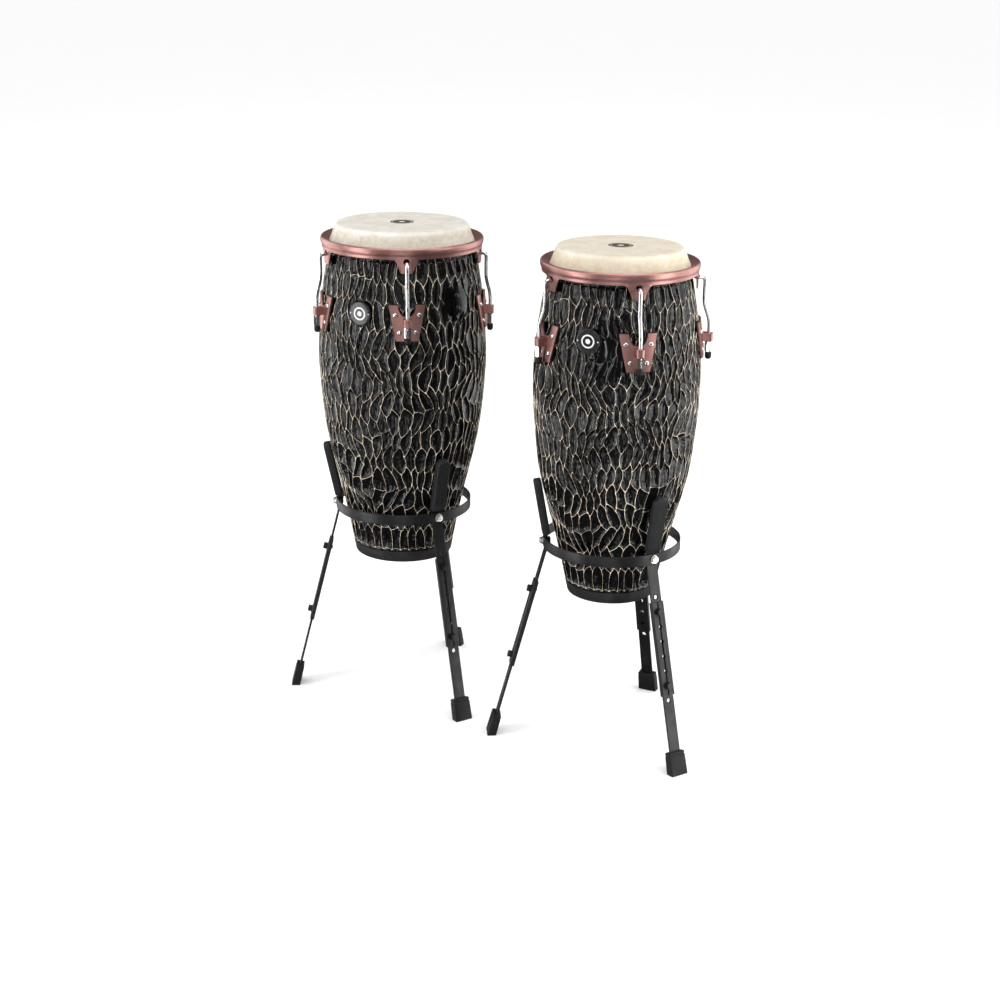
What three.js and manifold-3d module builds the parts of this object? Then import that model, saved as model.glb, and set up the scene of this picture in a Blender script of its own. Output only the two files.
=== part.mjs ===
// A pair of conga drums, each hung in its own three-legged basket stand: an 11 inch conga and a 10 inch quinto.
// Millimetres, +Z up. Each set is built round its own drum axis with the floor at z = 0. Azimuth 0 faces -Y,
// the player's side, and grows towards +X. The exported group stands on z = 0, its bounding box centred on Z.
import * as THREE from "three";
import { mergeVertices } from "three/addons/utils/BufferGeometryUtils.js";
import Module from "manifold-3d";

const wasm = await Module();
wasm.setup();

// ---- Driving dimensions -------------------------------------------------------------------------------------

const HEAD_PLANE = 1030; // height of the playing surface above the floor
const DRUM_HEIGHT = 711; // a 28 inch shell, from the playing surface to the underside of the base ring
const RING_HEIGHT = 426; // middle of the basket ring
const FOOT_CIRCLE = 241.6; // radius at which the legs meet the floor
const LEG_AZIMUTHS = [-84, 36, 156];
const LUG_COUNT = 5;

// The two sets. depth/radius pairs run down the outside of the shell from the shoulder under the rim.
const SETS = [
  {
    name: "conga",
    axis: [-223.4, 114.6],
    headRadius: 140,
    lugStart: 8.5,
    ringRadius: 145,
    profile: [
      [60, 154.5], [140, 167], [230, 175], [300, 176], [400, 167.5], [474, 155], [600, 125], [711, 103],
    ],
  },
  {
    name: "quinto",
    axis: [223.4, -114.6],
    headRadius: 127,
    lugStart: 12.5,
    ringRadius: 140,
    profile: [
      [60, 142], [140, 156], [230, 165], [300, 165.5], [400, 157.5], [474, 146], [600, 113], [711, 87.5],
    ],
  },
];

// Shell, head and rim. Radii are steps out from the head radius, heights are depths below the playing surface.
const ROUND = 36; // facets round a drum
const WALL = 10;
const SHOULDER = 60; // depth at which the full-thickness shell starts, below the hoop's travel
const SKIN = 2;
const COLLAR = { spread: 10.5, depth: 37 };
const HOOP = { radius: 4, out: 14.5, depth: 42.5 };
const RIM_EDGE = 50; // depth of the rim's lower edge between the ears
const EAR = {
  inner: 23, outer: 26, bottom: 78, hole: 54.5, holeRadius: 6.4, topHalf: 30, shoulder: 20, bottomHalf: 13,
};
const BASE = { height: 24, thickness: 4, lip: 2.5 };
const GAP = 0.3; // between pieces that touch on the real drum

// Tension lugs, as depths below the playing surface
const ROD = 8;
const HOOK_DEPTH = 56.4; // the hook hangs on the lower edge of the ear's hole
const BRACKET = { top: 165, bottom: 181.5, width: 16 };
const ROD_OFF_EAR = 13;
const ROD_OFF_SHELL = 17;
const ROD_BEND = { top: 98, bottom: 150 }; // the rod leans in towards the shell between these depths
const NUT = { top: 182, height: 21, flats: 13 };
const TIP = { top: 204, height: 14, radius: 6.5 };
const PLATE = { top: 140, bottom: 212, topHalf: 37.5, bottomHalf: 22, thickness: 3, standOff: 2.2 };
const NOTCH = { half: 19, depth: 23 };

// Stand
const BAND = { height: 22, thickness: 3 };
const BAR = { width: 25, thickness: 4, offBand: 1.5 };
const BAR_FLAT = 14; // half the upright stretch of a leg bar behind the ring
const PAD = { width: 30, thickness: 16, drop: 115.3, top: 558 };
const RING_BOLT = { radius: 4, head: 6.5, headLength: 8, nutRadius: 8, nutLength: 7 };
const HOLE_PITCH = 30;
const HOLE_RADIUS = 4.3;
const SLEEVE = { width: 30, depth: 9, wall: 1.75, slot: 3, start: 75, length: 190, holeEdge: 20 };
const UPPER_END = 120; // where the leg bar ends inside the sleeve, measured down the leg
const LOWER_START = 205; // where the lower bar begins inside the sleeve
const FOOT = { width: 40, depth: 18, height: 46, socket: 26 };
const LEG_BOLT = { radius: 4, head: 6.5, headLength: 6 };

// ---- Materials ----------------------------------------------------------------------------------------------

const finish = (color, roughness, metalness) =>
  new THREE.MeshStandardMaterial({ color, roughness, metalness });
const LACQUER = finish(0x17161a, 0.3, 0);
const RAWHIDE = finish(0xeae2d0, 0.75, 0);
const COPPER = finish(0x8d5b55, 0.4, 0.8);
const CHROME = finish(0xc9c9cc, 0.15, 1);
const STEEL = finish(0x18181a, 0.5, 0.3);
const RUBBER = finish(0x111112, 0.85, 0);

// ---- Solids -------------------------------------------------------------------------------------------------

const radians = THREE.MathUtils.degToRad;

// A three.js geometry as a manifold-3d solid.
function solid(geometry) {
  const bare = geometry.clone();
  bare.deleteAttribute("normal");
  bare.deleteAttribute("uv");
  const merged = mergeVertices(bare, 1e-4);
  return new wasm.Manifold(new wasm.Mesh({
    numProp: 3,
    vertProperties: merged.attributes.position.array,
    triVerts: new Uint32Array(merged.index.array),
  }));
}

function geometryOf(made) {
  const mesh = made.getMesh();
  return new THREE.BufferGeometry()
    .setAttribute("position", new THREE.BufferAttribute(mesh.vertProperties, 3))
    .setIndex(new THREE.BufferAttribute(mesh.triVerts, 1));
}

// A solid of revolution about Z from radius/height pairs, which close on themselves or lie on the axis.
function turned(points, facets = ROUND) {
  const profile = points.map(([r, z]) => new THREE.Vector2(r, z));
  if (points[0][0] > 0) profile.push(profile[0].clone());
  return new THREE.LatheGeometry(profile, facets).rotateX(Math.PI / 2);
}

// A prism along Z from a closed outline, between two heights.
function prism(outline, bottom, top) {
  const shape = outline instanceof THREE.Shape ? outline
    : new THREE.Shape(outline.map(([x, y]) => new THREE.Vector2(x, y)));
  return new THREE.ExtrudeGeometry(shape, { depth: top - bottom, bevelEnabled: false, curveSegments: 4 })
    .translate(0, 0, bottom);
}

// Stands a prism's outline up to face the player: outline x stays x, y becomes z, and depth runs outwards.
const facingOut = (geometry) => geometry.rotateX(Math.PI / 2);

// Turns a radius/height outline into a plate of the given width across the radius at azimuth 0.
function sidePlate(outline, width) {
  const upright = new THREE.Matrix4().makeBasis(
    new THREE.Vector3(0, -1, 0), new THREE.Vector3(0, 0, 1), new THREE.Vector3(-1, 0, 0));
  return prism(outline, -width / 2, width / 2).applyMatrix4(upright);
}

// A rod along the radius at azimuth 0, between two distances from the axis.
function radialRod(radius, inner, outer, height, sides = 8) {
  return new THREE.CylinderGeometry(radius, radius, outer - inner, sides)
    .translate(0, -(inner + outer) / 2, height);
}

// The two sides of a bent bar: the outline at half its thickness to either side of a radius/height path.
function barOutline(path, thickness) {
  const points = path.map(([r, z]) => new THREE.Vector2(r, z));
  const sides = [[], []];
  points.forEach((point, i) => {
    const before = points[Math.max(i - 1, 0)];
    const after = points[Math.min(i + 1, points.length - 1)];
    const along = i === 0 || i === points.length - 1 ? after.clone().sub(before)
      : point.clone().sub(before).normalize().add(after.clone().sub(point).normalize());
    along.normalize();
    const leg = i === 0 ? along : point.clone().sub(before).normalize();
    const reach = thickness / 2 / along.dot(leg);
    sides[0].push([point.x - along.y * reach, point.y + along.x * reach]);
    sides[1].unshift([point.x + along.y * reach, point.y - along.x * reach]);
  });
  return [...sides[0], ...sides[1]];
}

const joined = (first, ...rest) => rest.reduce((sum, next) => sum.add(solid(next)), solid(first));

function mesh(name, geometry, material, azimuth = 0) {
  const made = new THREE.Mesh(geometry, material);
  made.name = name;
  made.rotation.z = radians(azimuth);
  return made;
}

// ---- Drum ---------------------------------------------------------------------------------------------------

const at = (depth) => HEAD_PLANE - depth;

// The outer radius of a set's shell at a depth below the playing surface.
function shellRadius(set, depth) {
  const curve = new THREE.SplineCurve(set.profile.map(([d, r]) => new THREE.Vector2(d, r)));
  const points = curve.getPoints(100);
  const i = Math.max(1, points.findIndex((p) => p.x >= depth));
  const share = (depth - points[i - 1].x) / (points[i].x - points[i - 1].x);
  return THREE.MathUtils.lerp(points[i - 1].y, points[i].y, share);
}

function shell(set) {
  const head = set.headRadius;
  const baseTop = DRUM_HEIGHT - BASE.height;
  const wood = DRUM_HEIGHT - BASE.lip - GAP; // the wood ends on the base ring's lip
  const recess = BASE.thickness + GAP;
  const depths = [SHOULDER, 130, 200, 265, 330, 400, 474, 540, baseTop - GAP];
  const outside = depths.map((d) => [shellRadius(set, d), at(d)]);
  const inside = [130, 265, 400, 540].map((d) => [shellRadius(set, d) - WALL, at(d)]);
  return turned([
    [shellRadius(set, wood) - recess, at(wood)],
    [shellRadius(set, baseTop) - recess, at(baseTop - GAP)],
    ...outside.reverse(),
    [head + 6.5, at(SHOULDER)],
    [head - 1.8, at(9)],
    [head - 4.5, at(5)],
    [head - 9, at(SKIN + GAP)],
    [head - 12, at(8)],
    [head - 4, at(SHOULDER)],
    ...inside,
    [shellRadius(set, wood) - recess - WALL + 2, at(wood)],
  ]);
}

function skin(set) {
  const head = set.headRadius;
  return turned([
    [0, at(SKIN)],
    [head - 9, at(SKIN)],
    [head - 4, at(4.6)],
    [head - 1.3, at(9)],
    [head + COLLAR.spread - SKIN, at(COLLAR.depth)],
    [head + COLLAR.spread, at(COLLAR.depth)],
    [head + 0.8, at(8)],
    [head - 2.5, at(2.6)],
    [head - 8.5, at(0)],
    [0, at(0)],
  ]);
}

function hoop(set) {
  const section = [...Array(6).keys()].map((i) => [
    set.headRadius + HOOP.out + HOOP.radius * Math.cos((i * Math.PI) / 3),
    at(HOOP.depth) + HOOP.radius * Math.sin((i * Math.PI) / 3),
  ]);
  return turned(section);
}

function baseRing(set) {
  const top = DRUM_HEIGHT - BASE.height;
  const upper = shellRadius(set, top);
  const onLip = shellRadius(set, DRUM_HEIGHT - BASE.lip);
  const lower = shellRadius(set, DRUM_HEIGHT);
  return turned([
    [lower - BASE.thickness - 8, at(DRUM_HEIGHT)],
    [lower, at(DRUM_HEIGHT)],
    [upper, at(top)],
    [upper - BASE.thickness, at(top)],
    [onLip - BASE.thickness, at(DRUM_HEIGHT - BASE.lip)],
    [lower - BASE.thickness - 8, at(DRUM_HEIGHT - BASE.lip)],
  ]);
}

// The rim is a rolled lip over an upright wall, with an inner flange that bears on the flesh hoop and an ear
// for each lug.
function rim(set) {
  const head = set.headRadius;
  const outer = head + EAR.outer;
  const inner = head + EAR.inner;
  const body = turned([
    [inner, at(RIM_EDGE)],
    [outer, at(RIM_EDGE)],
    [outer, at(43)],
    [outer + 3, at(38)],
    [outer + 2, at(30)],
    [outer - 2, at(27)],
    [head + 13, at(34)],
    [head + 12.5, at(37)],
    [inner - 1, at(38)],
  ]);
  const tongue = new THREE.Shape();
  tongue.moveTo(-EAR.topHalf, at(RIM_EDGE - 5));
  tongue.lineTo(-EAR.topHalf, at(RIM_EDGE));
  tongue.quadraticCurveTo(-EAR.shoulder - 2, at(RIM_EDGE), -EAR.shoulder, at(RIM_EDGE + 8));
  tongue.lineTo(-EAR.bottomHalf, at(EAR.bottom));
  tongue.lineTo(EAR.bottomHalf, at(EAR.bottom));
  tongue.lineTo(EAR.shoulder, at(RIM_EDGE + 8));
  tongue.quadraticCurveTo(EAR.shoulder + 2, at(RIM_EDGE), EAR.topHalf, at(RIM_EDGE));
  tongue.lineTo(EAR.topHalf, at(RIM_EDGE - 5));
  const wall = solid(turned([
    [inner, at(EAR.bottom)], [outer, at(EAR.bottom)], [outer, at(RIM_EDGE - 7)], [inner, at(RIM_EDGE - 7)],
  ]));
  let made = solid(body);
  for (const azimuth of lugAzimuths(set)) {
    const tab = facingOut(prism(tongue, inner - 20, outer + 20)).rotateZ(radians(azimuth));
    const hole = radialRod(EAR.holeRadius, inner - 20, outer + 20, at(EAR.hole), 16).rotateZ(radians(azimuth));
    made = made.add(wall.intersect(solid(tab))).subtract(solid(hole));
  }
  return geometryOf(made);
}

// ---- Tension lugs -------------------------------------------------------------------------------------------

const lugAzimuths = (set) => [...Array(LUG_COUNT).keys()].map((i) => set.lugStart + (i * 360) / LUG_COUNT);
const rodRadius = (set) => shellRadius(set, 180) + ROD_OFF_SHELL;

// A hook bolt: through the ear's hole, down beside the shell, upright through the bracket, with a rubber tip.
function hookBolt(set) {
  const low = rodRadius(set);
  const high = set.headRadius + EAR.outer + ROD_OFF_EAR;
  const tipBottom = TIP.top + TIP.height;
  const point = (r, depth) => new THREE.Vector3(0, -r, at(depth));
  const path = new THREE.CurvePath();
  const elbow = [point(high - 9, HOOK_DEPTH), point(high, HOOK_DEPTH), point(high, HOOK_DEPTH + 9)];
  const { top, bottom } = ROD_BEND;
  const lean = [point(high, top), point(high, top + 20), point(low, bottom - 20), point(low, bottom)];
  path.add(new THREE.LineCurve3(point(set.headRadius + EAR.inner - 4.5, HOOK_DEPTH), elbow[0]));
  path.add(new THREE.QuadraticBezierCurve3(...elbow));
  path.add(new THREE.LineCurve3(elbow[2], lean[0]));
  path.add(new THREE.CubicBezierCurve3(...lean));
  path.add(new THREE.LineCurve3(lean[3], point(low, TIP.top + 5)));
  const section = new THREE.Shape(ringOfPoints(ROD / 2, 8));
  const rod = new THREE.ExtrudeGeometry(section, { steps: 14, extrudePath: path, curveSegments: 1 });
  const tip = new THREE.CylinderGeometry(TIP.radius, TIP.radius, TIP.height, 8).rotateX(Math.PI / 2)
    .translate(0, -low, (at(TIP.top) + at(tipBottom)) / 2);
  return geometryOf(joined(rod, tip));
}

function ringOfPoints(radius, count) {
  return [...Array(count).keys()].map((i) => {
    const turn = (2 * Math.PI * (i + 0.5)) / count;
    return new THREE.Vector2(radius * Math.cos(turn), radius * Math.sin(turn));
  });
}

function tuningNut(set) {
  const hexagon = new THREE.Shape(ringOfPoints(NUT.flats / 2 / Math.cos(Math.PI / 6), 6));
  hexagon.holes.push(new THREE.Path(ringOfPoints(ROD / 2 + 0.6, 8)));
  return prism(hexagon, at(NUT.top + NUT.height), at(NUT.top)).translate(0, -rodRadius(set), 0);
}

// A side plate: curved to the shell, notched at the top, with an eye that the hook bolt runs through.
function lugPlate(set) {
  const middle = (PLATE.top + PLATE.bottom) / 2;
  const slope = (shellRadius(set, PLATE.bottom) - shellRadius(set, PLATE.top)) / (PLATE.bottom - PLATE.top);
  const back = shellRadius(set, middle) + PLATE.standOff;
  const half = (PLATE.bottom - PLATE.top) / 2 + 10;
  const curved = turned([
    [back - half * -slope, -half], [back - half * -slope + PLATE.thickness, -half],
    [back + half * -slope + PLATE.thickness, half], [back + half * -slope, half],
  ], 48).translate(0, 0, at(middle));
  const outline = new THREE.Shape();
  outline.moveTo(-PLATE.bottomHalf, at(PLATE.bottom));
  outline.lineTo(PLATE.bottomHalf, at(PLATE.bottom));
  outline.lineTo(PLATE.topHalf, at(PLATE.top));
  outline.lineTo(NOTCH.half, at(PLATE.top));
  outline.quadraticCurveTo(NOTCH.half - 4, at(PLATE.top + NOTCH.depth), 0, at(PLATE.top + NOTCH.depth));
  outline.quadraticCurveTo(-NOTCH.half + 4, at(PLATE.top + NOTCH.depth), -NOTCH.half, at(PLATE.top));
  outline.lineTo(-PLATE.topHalf, at(PLATE.top));
  const blank = facingOut(prism(outline, back - 20, back + 20));
  const plate = solid(curved).intersect(solid(blank));
  const rod = rodRadius(set);
  const width = BRACKET.width / 2;
  const eye = new THREE.Shape();
  eye.moveTo(width, -back - 1);
  eye.lineTo(-width, -back - 1);
  eye.lineTo(-width, -rod);
  eye.absarc(0, -rod, width, Math.PI, 2 * Math.PI, false);
  const bore = ringOfPoints(ROD / 2 + 0.7, 8).map((p) => p.add(new THREE.Vector2(0, -rod)));
  eye.holes.push(new THREE.Path(bore));
  return geometryOf(plate.add(solid(prism(eye, at(BRACKET.bottom), at(BRACKET.top)))));
}

function drum(set) {
  const { name } = set;
  const parts = [
    mesh(name + "_shell", shell(set), LACQUER),
    mesh(name + "_base_ring", baseRing(set), RUBBER),
    mesh(name + "_head_skin", skin(set), RAWHIDE),
    mesh(name + "_flesh_hoop", hoop(set), STEEL),
    mesh(name + "_rim", rim(set), COPPER),
  ];
  lugAzimuths(set).forEach((azimuth, i) => {
    const number = i + 1;
    parts.push(
      mesh(name + "_lug_plate_" + number, lugPlate(set), COPPER, azimuth),
      mesh(name + "_hook_bolt_" + number, hookBolt(set), CHROME, azimuth),
      mesh(name + "_tuning_nut_" + number, tuningNut(set), CHROME, azimuth),
    );
  });
  return parts;
}

// ---- Stand --------------------------------------------------------------------------------------------------

// Where a leg bar's middle runs behind the ring, and the leg's slope down to the floor.
const barRadius = (set) => set.ringRadius - BAND.thickness - BAR.offBand - BAR.thickness / 2;
const LEG_TOP = RING_HEIGHT - BAR_FLAT;
const legTilt = (set) => Math.atan2(FOOT_CIRCLE - barRadius(set), LEG_TOP);
const legLength = (set) => LEG_TOP / Math.cos(legTilt(set));

// Moves a piece drawn in the leg's own frame, z up the leg from its bend, into the set's frame at azimuth 0.
function alongLeg(set, geometry) {
  return geometry.rotateX(-legTilt(set)).translate(0, -barRadius(set), LEG_TOP);
}

// The pad's top stands just clear of the shell, which sets how far the arm leans out.
function armTilt(set) {
  const touch = shellRadius(set, HEAD_PLANE - PAD.top) + PAD.thickness / 2 + 0.6;
  return Math.atan2(touch - barRadius(set), PAD.top - RING_HEIGHT - BAR_FLAT);
}

function band(set) {
  const outer = set.ringRadius;
  const half = BAND.height / 2;
  let made = solid(turned([
    [outer - BAND.thickness, RING_HEIGHT - half], [outer, RING_HEIGHT - half],
    [outer, RING_HEIGHT + half], [outer - BAND.thickness, RING_HEIGHT + half],
  ], 48));
  for (const azimuth of LEG_AZIMUTHS) {
    const hole = radialRod(RING_BOLT.radius + 0.5, outer - 10, outer + 10, RING_HEIGHT)
      .rotateZ(radians(azimuth));
    made = made.subtract(solid(hole));
  }
  return geometryOf(made);
}

// A folded sleeve with an open seam down its outer face, drilled at every hole position.
function sleeve() {
  const w = SLEEVE.width / 2;
  const d = SLEEVE.depth / 2;
  const t = SLEEVE.wall;
  const s = SLEEVE.slot / 2;
  const section = [
    [-s, -d], [-s, -d + t], [-w + t, -d + t], [-w + t, d - t],
    [w - t, d - t], [w - t, -d + t], [s, -d + t], [s, -d],
    [w, -d], [w, d], [-w, d], [-w, -d],
  ];
  const bottom = -SLEEVE.start - SLEEVE.length;
  let made = solid(prism(section, bottom, -SLEEVE.start));
  for (let down = SLEEVE.start + SLEEVE.holeEdge + HOLE_PITCH; down < -bottom; down += HOLE_PITCH) {
    made = made.subtract(solid(crossHole(down)));
  }
  return geometryOf(made);
}

// A hole's cutter across the leg, at a distance down it from the bend.
const crossHole = (down) => new THREE.CylinderGeometry(HOLE_RADIUS, HOLE_RADIUS, 30, 8).translate(0, 0, -down);

// A leg's fixed half: bar and arm in one bent strip, the arm's rubber pad, the sleeve and the bolts.
function upperLeg(set) {
  const bar = barRadius(set);
  const lean = Math.tan(armTilt(set));
  const slope = Math.tan(legTilt(set));
  const armAt = (z) => [bar + (z - RING_HEIGHT - BAR_FLAT) * lean, z];
  const barEnd = LEG_TOP - UPPER_END * Math.cos(legTilt(set));
  const strip = sidePlate(barOutline([
    armAt(PAD.top - 6), [bar, RING_HEIGHT + BAR_FLAT],
    [bar, LEG_TOP], [bar + (LEG_TOP - barEnd) * slope, barEnd],
  ], BAR.thickness), BAR.width);
  const pad = sidePlate(barOutline([armAt(PAD.top), armAt(PAD.top - PAD.drop)], PAD.thickness), PAD.width);
  const ring = set.ringRadius;
  const bolt = radialRod(RING_BOLT.radius, bar - 5, ring + 4, RING_HEIGHT);
  const head = radialRod(RING_BOLT.head, ring + GAP, ring + RING_BOLT.headLength, RING_HEIGHT, 6);
  const nut = radialRod(RING_BOLT.nutRadius, bar - 1 - RING_BOLT.nutLength, bar - 1, RING_HEIGHT, 8);
  const boltDown = -SLEEVE.start - SLEEVE.holeEdge;
  const reach = SLEEVE.depth / 2 + LEG_BOLT.headLength;
  const legBolt = new THREE.CylinderGeometry(LEG_BOLT.radius, LEG_BOLT.radius, reach + 8, 8)
    .translate(0, (8 - reach) / 2, boltDown);
  const legBoltHead = new THREE.CylinderGeometry(LEG_BOLT.head, LEG_BOLT.head, LEG_BOLT.headLength, 6)
    .translate(0, -SLEEVE.depth / 2 - LEG_BOLT.headLength / 2, boltDown);
  const spareHole = alongLeg(set, crossHole(SLEEVE.start + SLEEVE.holeEdge - HOLE_PITCH));
  const drilled = solid(strip).subtract(solid(spareHole));
  const fixed = [pad, bolt, head, nut, ...[sleeve(), legBolt, legBoltHead].map((g) => alongLeg(set, g))];
  return geometryOf(fixed.reduce((sum, next) => sum.add(solid(next)), drilled));
}

// A leg's sliding half: a drilled bar that the sleeve guides.
function lowerLeg(set) {
  const end = legLength(set) - FOOT.height + FOOT.socket;
  const bar = new THREE.BoxGeometry(BAR.width, BAR.thickness, end - LOWER_START)
    .translate(0, 0, -(end + LOWER_START) / 2);
  const lock = SLEEVE.start + SLEEVE.length - SLEEVE.holeEdge;
  const holes = [lock - HOLE_PITCH, lock, lock + HOLE_PITCH].map((down) => solid(crossHole(down)));
  return alongLeg(set, geometryOf(holes.reduce((left, hole) => left.subtract(hole), solid(bar))));
}

// A rubber boot on the lower bar, cut flat where it stands on the floor.
function foot(set) {
  const length = legLength(set);
  const boot = new THREE.BoxGeometry(FOOT.width, FOOT.depth, FOOT.height + 10)
    .translate(0, 0, -length + FOOT.height / 2 - 5);
  const socket = new THREE.BoxGeometry(BAR.width + 2 * GAP, BAR.thickness + 2 * GAP, FOOT.socket + 10)
    .translate(0, 0, -length + FOOT.height - FOOT.socket / 2 + 5 - GAP);
  const floor = new THREE.BoxGeometry(200, 200, 100).translate(0, -FOOT_CIRCLE, -50);
  return geometryOf(solid(alongLeg(set, boot)).subtract(solid(alongLeg(set, socket))).subtract(solid(floor)));
}

function stand(set) {
  const { name } = set;
  const parts = [mesh(name + "_stand_ring", band(set), STEEL)];
  LEG_AZIMUTHS.forEach((azimuth, i) => {
    const number = i + 1;
    parts.push(
      mesh(name + "_upper_leg_" + number, upperLeg(set), STEEL, azimuth),
      mesh(name + "_lower_leg_" + number, lowerLeg(set), STEEL, azimuth),
      mesh(name + "_foot_" + number, foot(set), RUBBER, azimuth),
    );
  });
  return parts;
}

// ---- The pair -----------------------------------------------------------------------------------------------

const pair = new THREE.Group();
for (const set of SETS) {
  const group = new THREE.Group();
  group.position.set(set.axis[0], set.axis[1], 0);
  group.add(...drum(set), ...stand(set));
  pair.add(group);
}
const middle = new THREE.Box3().setFromObject(pair, true).getCenter(new THREE.Vector3());
pair.position.set(-middle.x, -middle.y, 0);

export default pair;
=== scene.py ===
"""Looks of the conga pair: every visible piece is built here, in millimetres round its own drum's axis, and
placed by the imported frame. Azimuth 0 of a drum faces -Y, towards the player, and grows towards +X. A depth is
measured down from the playing heads, and a shape is a pair: its points and its faces."""

import math
import random

import bmesh
import bpy
import numpy as np
from mathutils import Matrix, Vector


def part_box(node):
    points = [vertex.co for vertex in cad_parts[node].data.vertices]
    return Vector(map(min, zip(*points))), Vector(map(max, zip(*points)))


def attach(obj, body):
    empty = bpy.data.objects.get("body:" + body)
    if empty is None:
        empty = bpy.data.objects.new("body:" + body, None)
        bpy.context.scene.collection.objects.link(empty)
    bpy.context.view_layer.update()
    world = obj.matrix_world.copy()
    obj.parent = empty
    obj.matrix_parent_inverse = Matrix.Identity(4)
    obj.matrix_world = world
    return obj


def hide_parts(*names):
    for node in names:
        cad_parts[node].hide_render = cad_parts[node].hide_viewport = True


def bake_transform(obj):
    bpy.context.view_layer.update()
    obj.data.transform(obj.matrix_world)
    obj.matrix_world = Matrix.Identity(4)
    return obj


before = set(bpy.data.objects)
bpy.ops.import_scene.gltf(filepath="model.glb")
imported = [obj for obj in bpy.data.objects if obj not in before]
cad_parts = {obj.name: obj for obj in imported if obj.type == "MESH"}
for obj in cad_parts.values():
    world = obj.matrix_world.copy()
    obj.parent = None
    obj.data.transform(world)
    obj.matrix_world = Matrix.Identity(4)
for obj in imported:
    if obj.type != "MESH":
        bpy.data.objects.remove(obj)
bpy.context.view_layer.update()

MM = 0.001
TURN = 2 * math.pi

# ---- Dimensions shared with the CAD, in millimetres ----

HEAD_PLANE = 1030.0
DRUM_HEIGHT = 711.0
RING_HEIGHT, RING_HALF, RING_THICKNESS = 426.0, 11.0, 3.0
FOOT_CIRCLE = 241.6
LEG_AZIMUTHS = (-84.0, 36.0, 156.0)
WALL = 10.0
BASE_HEIGHT, BASE_THICKNESS = 24.0, 4.0
ROD = 8.0
THREAD_PITCH = 1.25
BORE = 4.75  # radius of the hole for the rod in the eye and the nut
BAR_FLAT = 14.0
PAD_WIDTH, PAD_THICKNESS, PAD_LENGTH, PAD_TOP = 30.0, 16.0, 124.0, 558.0
BAR_WIDTH, BAR_THICKNESS = 25.0, 4.0
BAR_HOLE = 4.3
SLEEVE_WIDTH, SLEEVE_DEPTH, SLEEVE_WALL, SLEEVE_SLOT = 30.0, 9.0, 1.75, 3.0
SLEEVE_START, SLEEVE_LENGTH, HOLE_PITCH, HOLE_EDGE = 75.0, 190.0, 30.0, 20.0
UPPER_END, LOWER_START = 120.0, 205.0
FOOT_HEIGHT, FOOT_SOCKET = 46.0, 26.0


def at(depth):
    return HEAD_PLANE - depth


def around(count):
    """Evenly spaced angles of a full turn."""
    return np.linspace(0, TURN, count, endpoint=False)


def wrapped(angle):
    """An angle brought within half a turn of zero."""
    return (angle + math.pi) % TURN - math.pi


def smoothstep(value, low, high):
    t = np.clip((value - low) / (high - low), 0, 1)
    return t * t * (3 - 2 * t)


def turned(points, azimuth):
    """Points turned about the drum's axis, by degrees."""
    p = np.asarray(points, float)
    c, s = math.cos(math.radians(azimuth)), math.sin(math.radians(azimuth))
    return np.column_stack([p[:, 0] * c - p[:, 1] * s, p[:, 0] * s + p[:, 1] * c, p[:, 2]])


def about_axis(radius, angle, height):
    """Points at a radius, an angle and a height; any of the three may be a list."""
    radius, angle, height = np.broadcast_arrays(radius, angle, height)
    return np.column_stack([radius * np.sin(angle), -radius * np.cos(angle), height])


class Kit:
    """One drum and its stand: where its axis is, and how its shell's radius runs with depth."""

    def __init__(self, name, head, lug_start, ring, profile, badge, seed):
        low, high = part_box(name + "_shell")
        self.name = name
        self.x, self.y = (low[0] + high[0]) / 2, (low[1] + high[1]) / 2
        self.head = head
        self.lugs = [lug_start + 72.0 * i for i in range(5)]
        self.ring = ring
        self.bar = ring - 6.5
        self.badge, self.badge_depth = badge
        self.seed = seed
        self.depths, self.radii = self.spline(np.array(profile, float))
        self.rod_radius = self.radius(180.0) + 17.0
        self.leg_tilt = math.atan2(FOOT_CIRCLE - self.bar, RING_HEIGHT - BAR_FLAT)
        touch = self.radius(at(PAD_TOP)) + PAD_THICKNESS / 2 + 0.6
        self.arm_tilt = math.atan2(touch - self.bar, PAD_TOP - RING_HEIGHT - BAR_FLAT)

    @staticmethod
    def spline(points, steps=200):
        """A Catmull-Rom curve through the profile's points, as the CAD draws it."""
        last = len(points) - 1
        t = np.linspace(0, last, steps + 1)
        i = np.minimum(t.astype(int), last - 1)
        w = (t - i)[:, None]
        p0, p1 = points[np.maximum(i - 1, 0)], points[i]
        p2, p3 = points[i + 1], points[np.minimum(i + 2, last)]
        p0 = np.where((i == 0)[:, None], p1, p0)
        p3 = np.where((i > last - 2)[:, None], p2, p3)
        v0, v1 = (p2 - p0) / 2, (p3 - p1) / 2
        curve = (2 * p1 - 2 * p2 + v0 + v1) * w**3 + (-3 * p1 + 3 * p2 - 2 * v0 - v1) * w**2 + v0 * w + p1
        return curve[:, 0], curve[:, 1]

    def radius(self, depth):
        return np.interp(depth, self.depths, self.radii)

    def world(self, points, azimuth=0.0):
        """Local millimetres, turned to an azimuth, to metres in the frame."""
        return turned(points, azimuth) * MM + (self.x, self.y, 0)


KITS = [
    Kit("conga", 140.0, 8.5, 145.0,
        [[60, 154.5], [140, 167], [230, 175], [300, 176], [400, 167.5], [474, 155], [600, 125], [711, 103]],
        (-24.7, 162.0), 11),
    Kit("quinto", 127.0, 12.5, 140.0,
        [[60, 142], [140, 156], [230, 165], [300, 165.5], [400, 157.5], [474, 146], [600, 113], [711, 87.5]],
        (-21.9, 158.0), 23),
]

# ---- Materials ----


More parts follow.
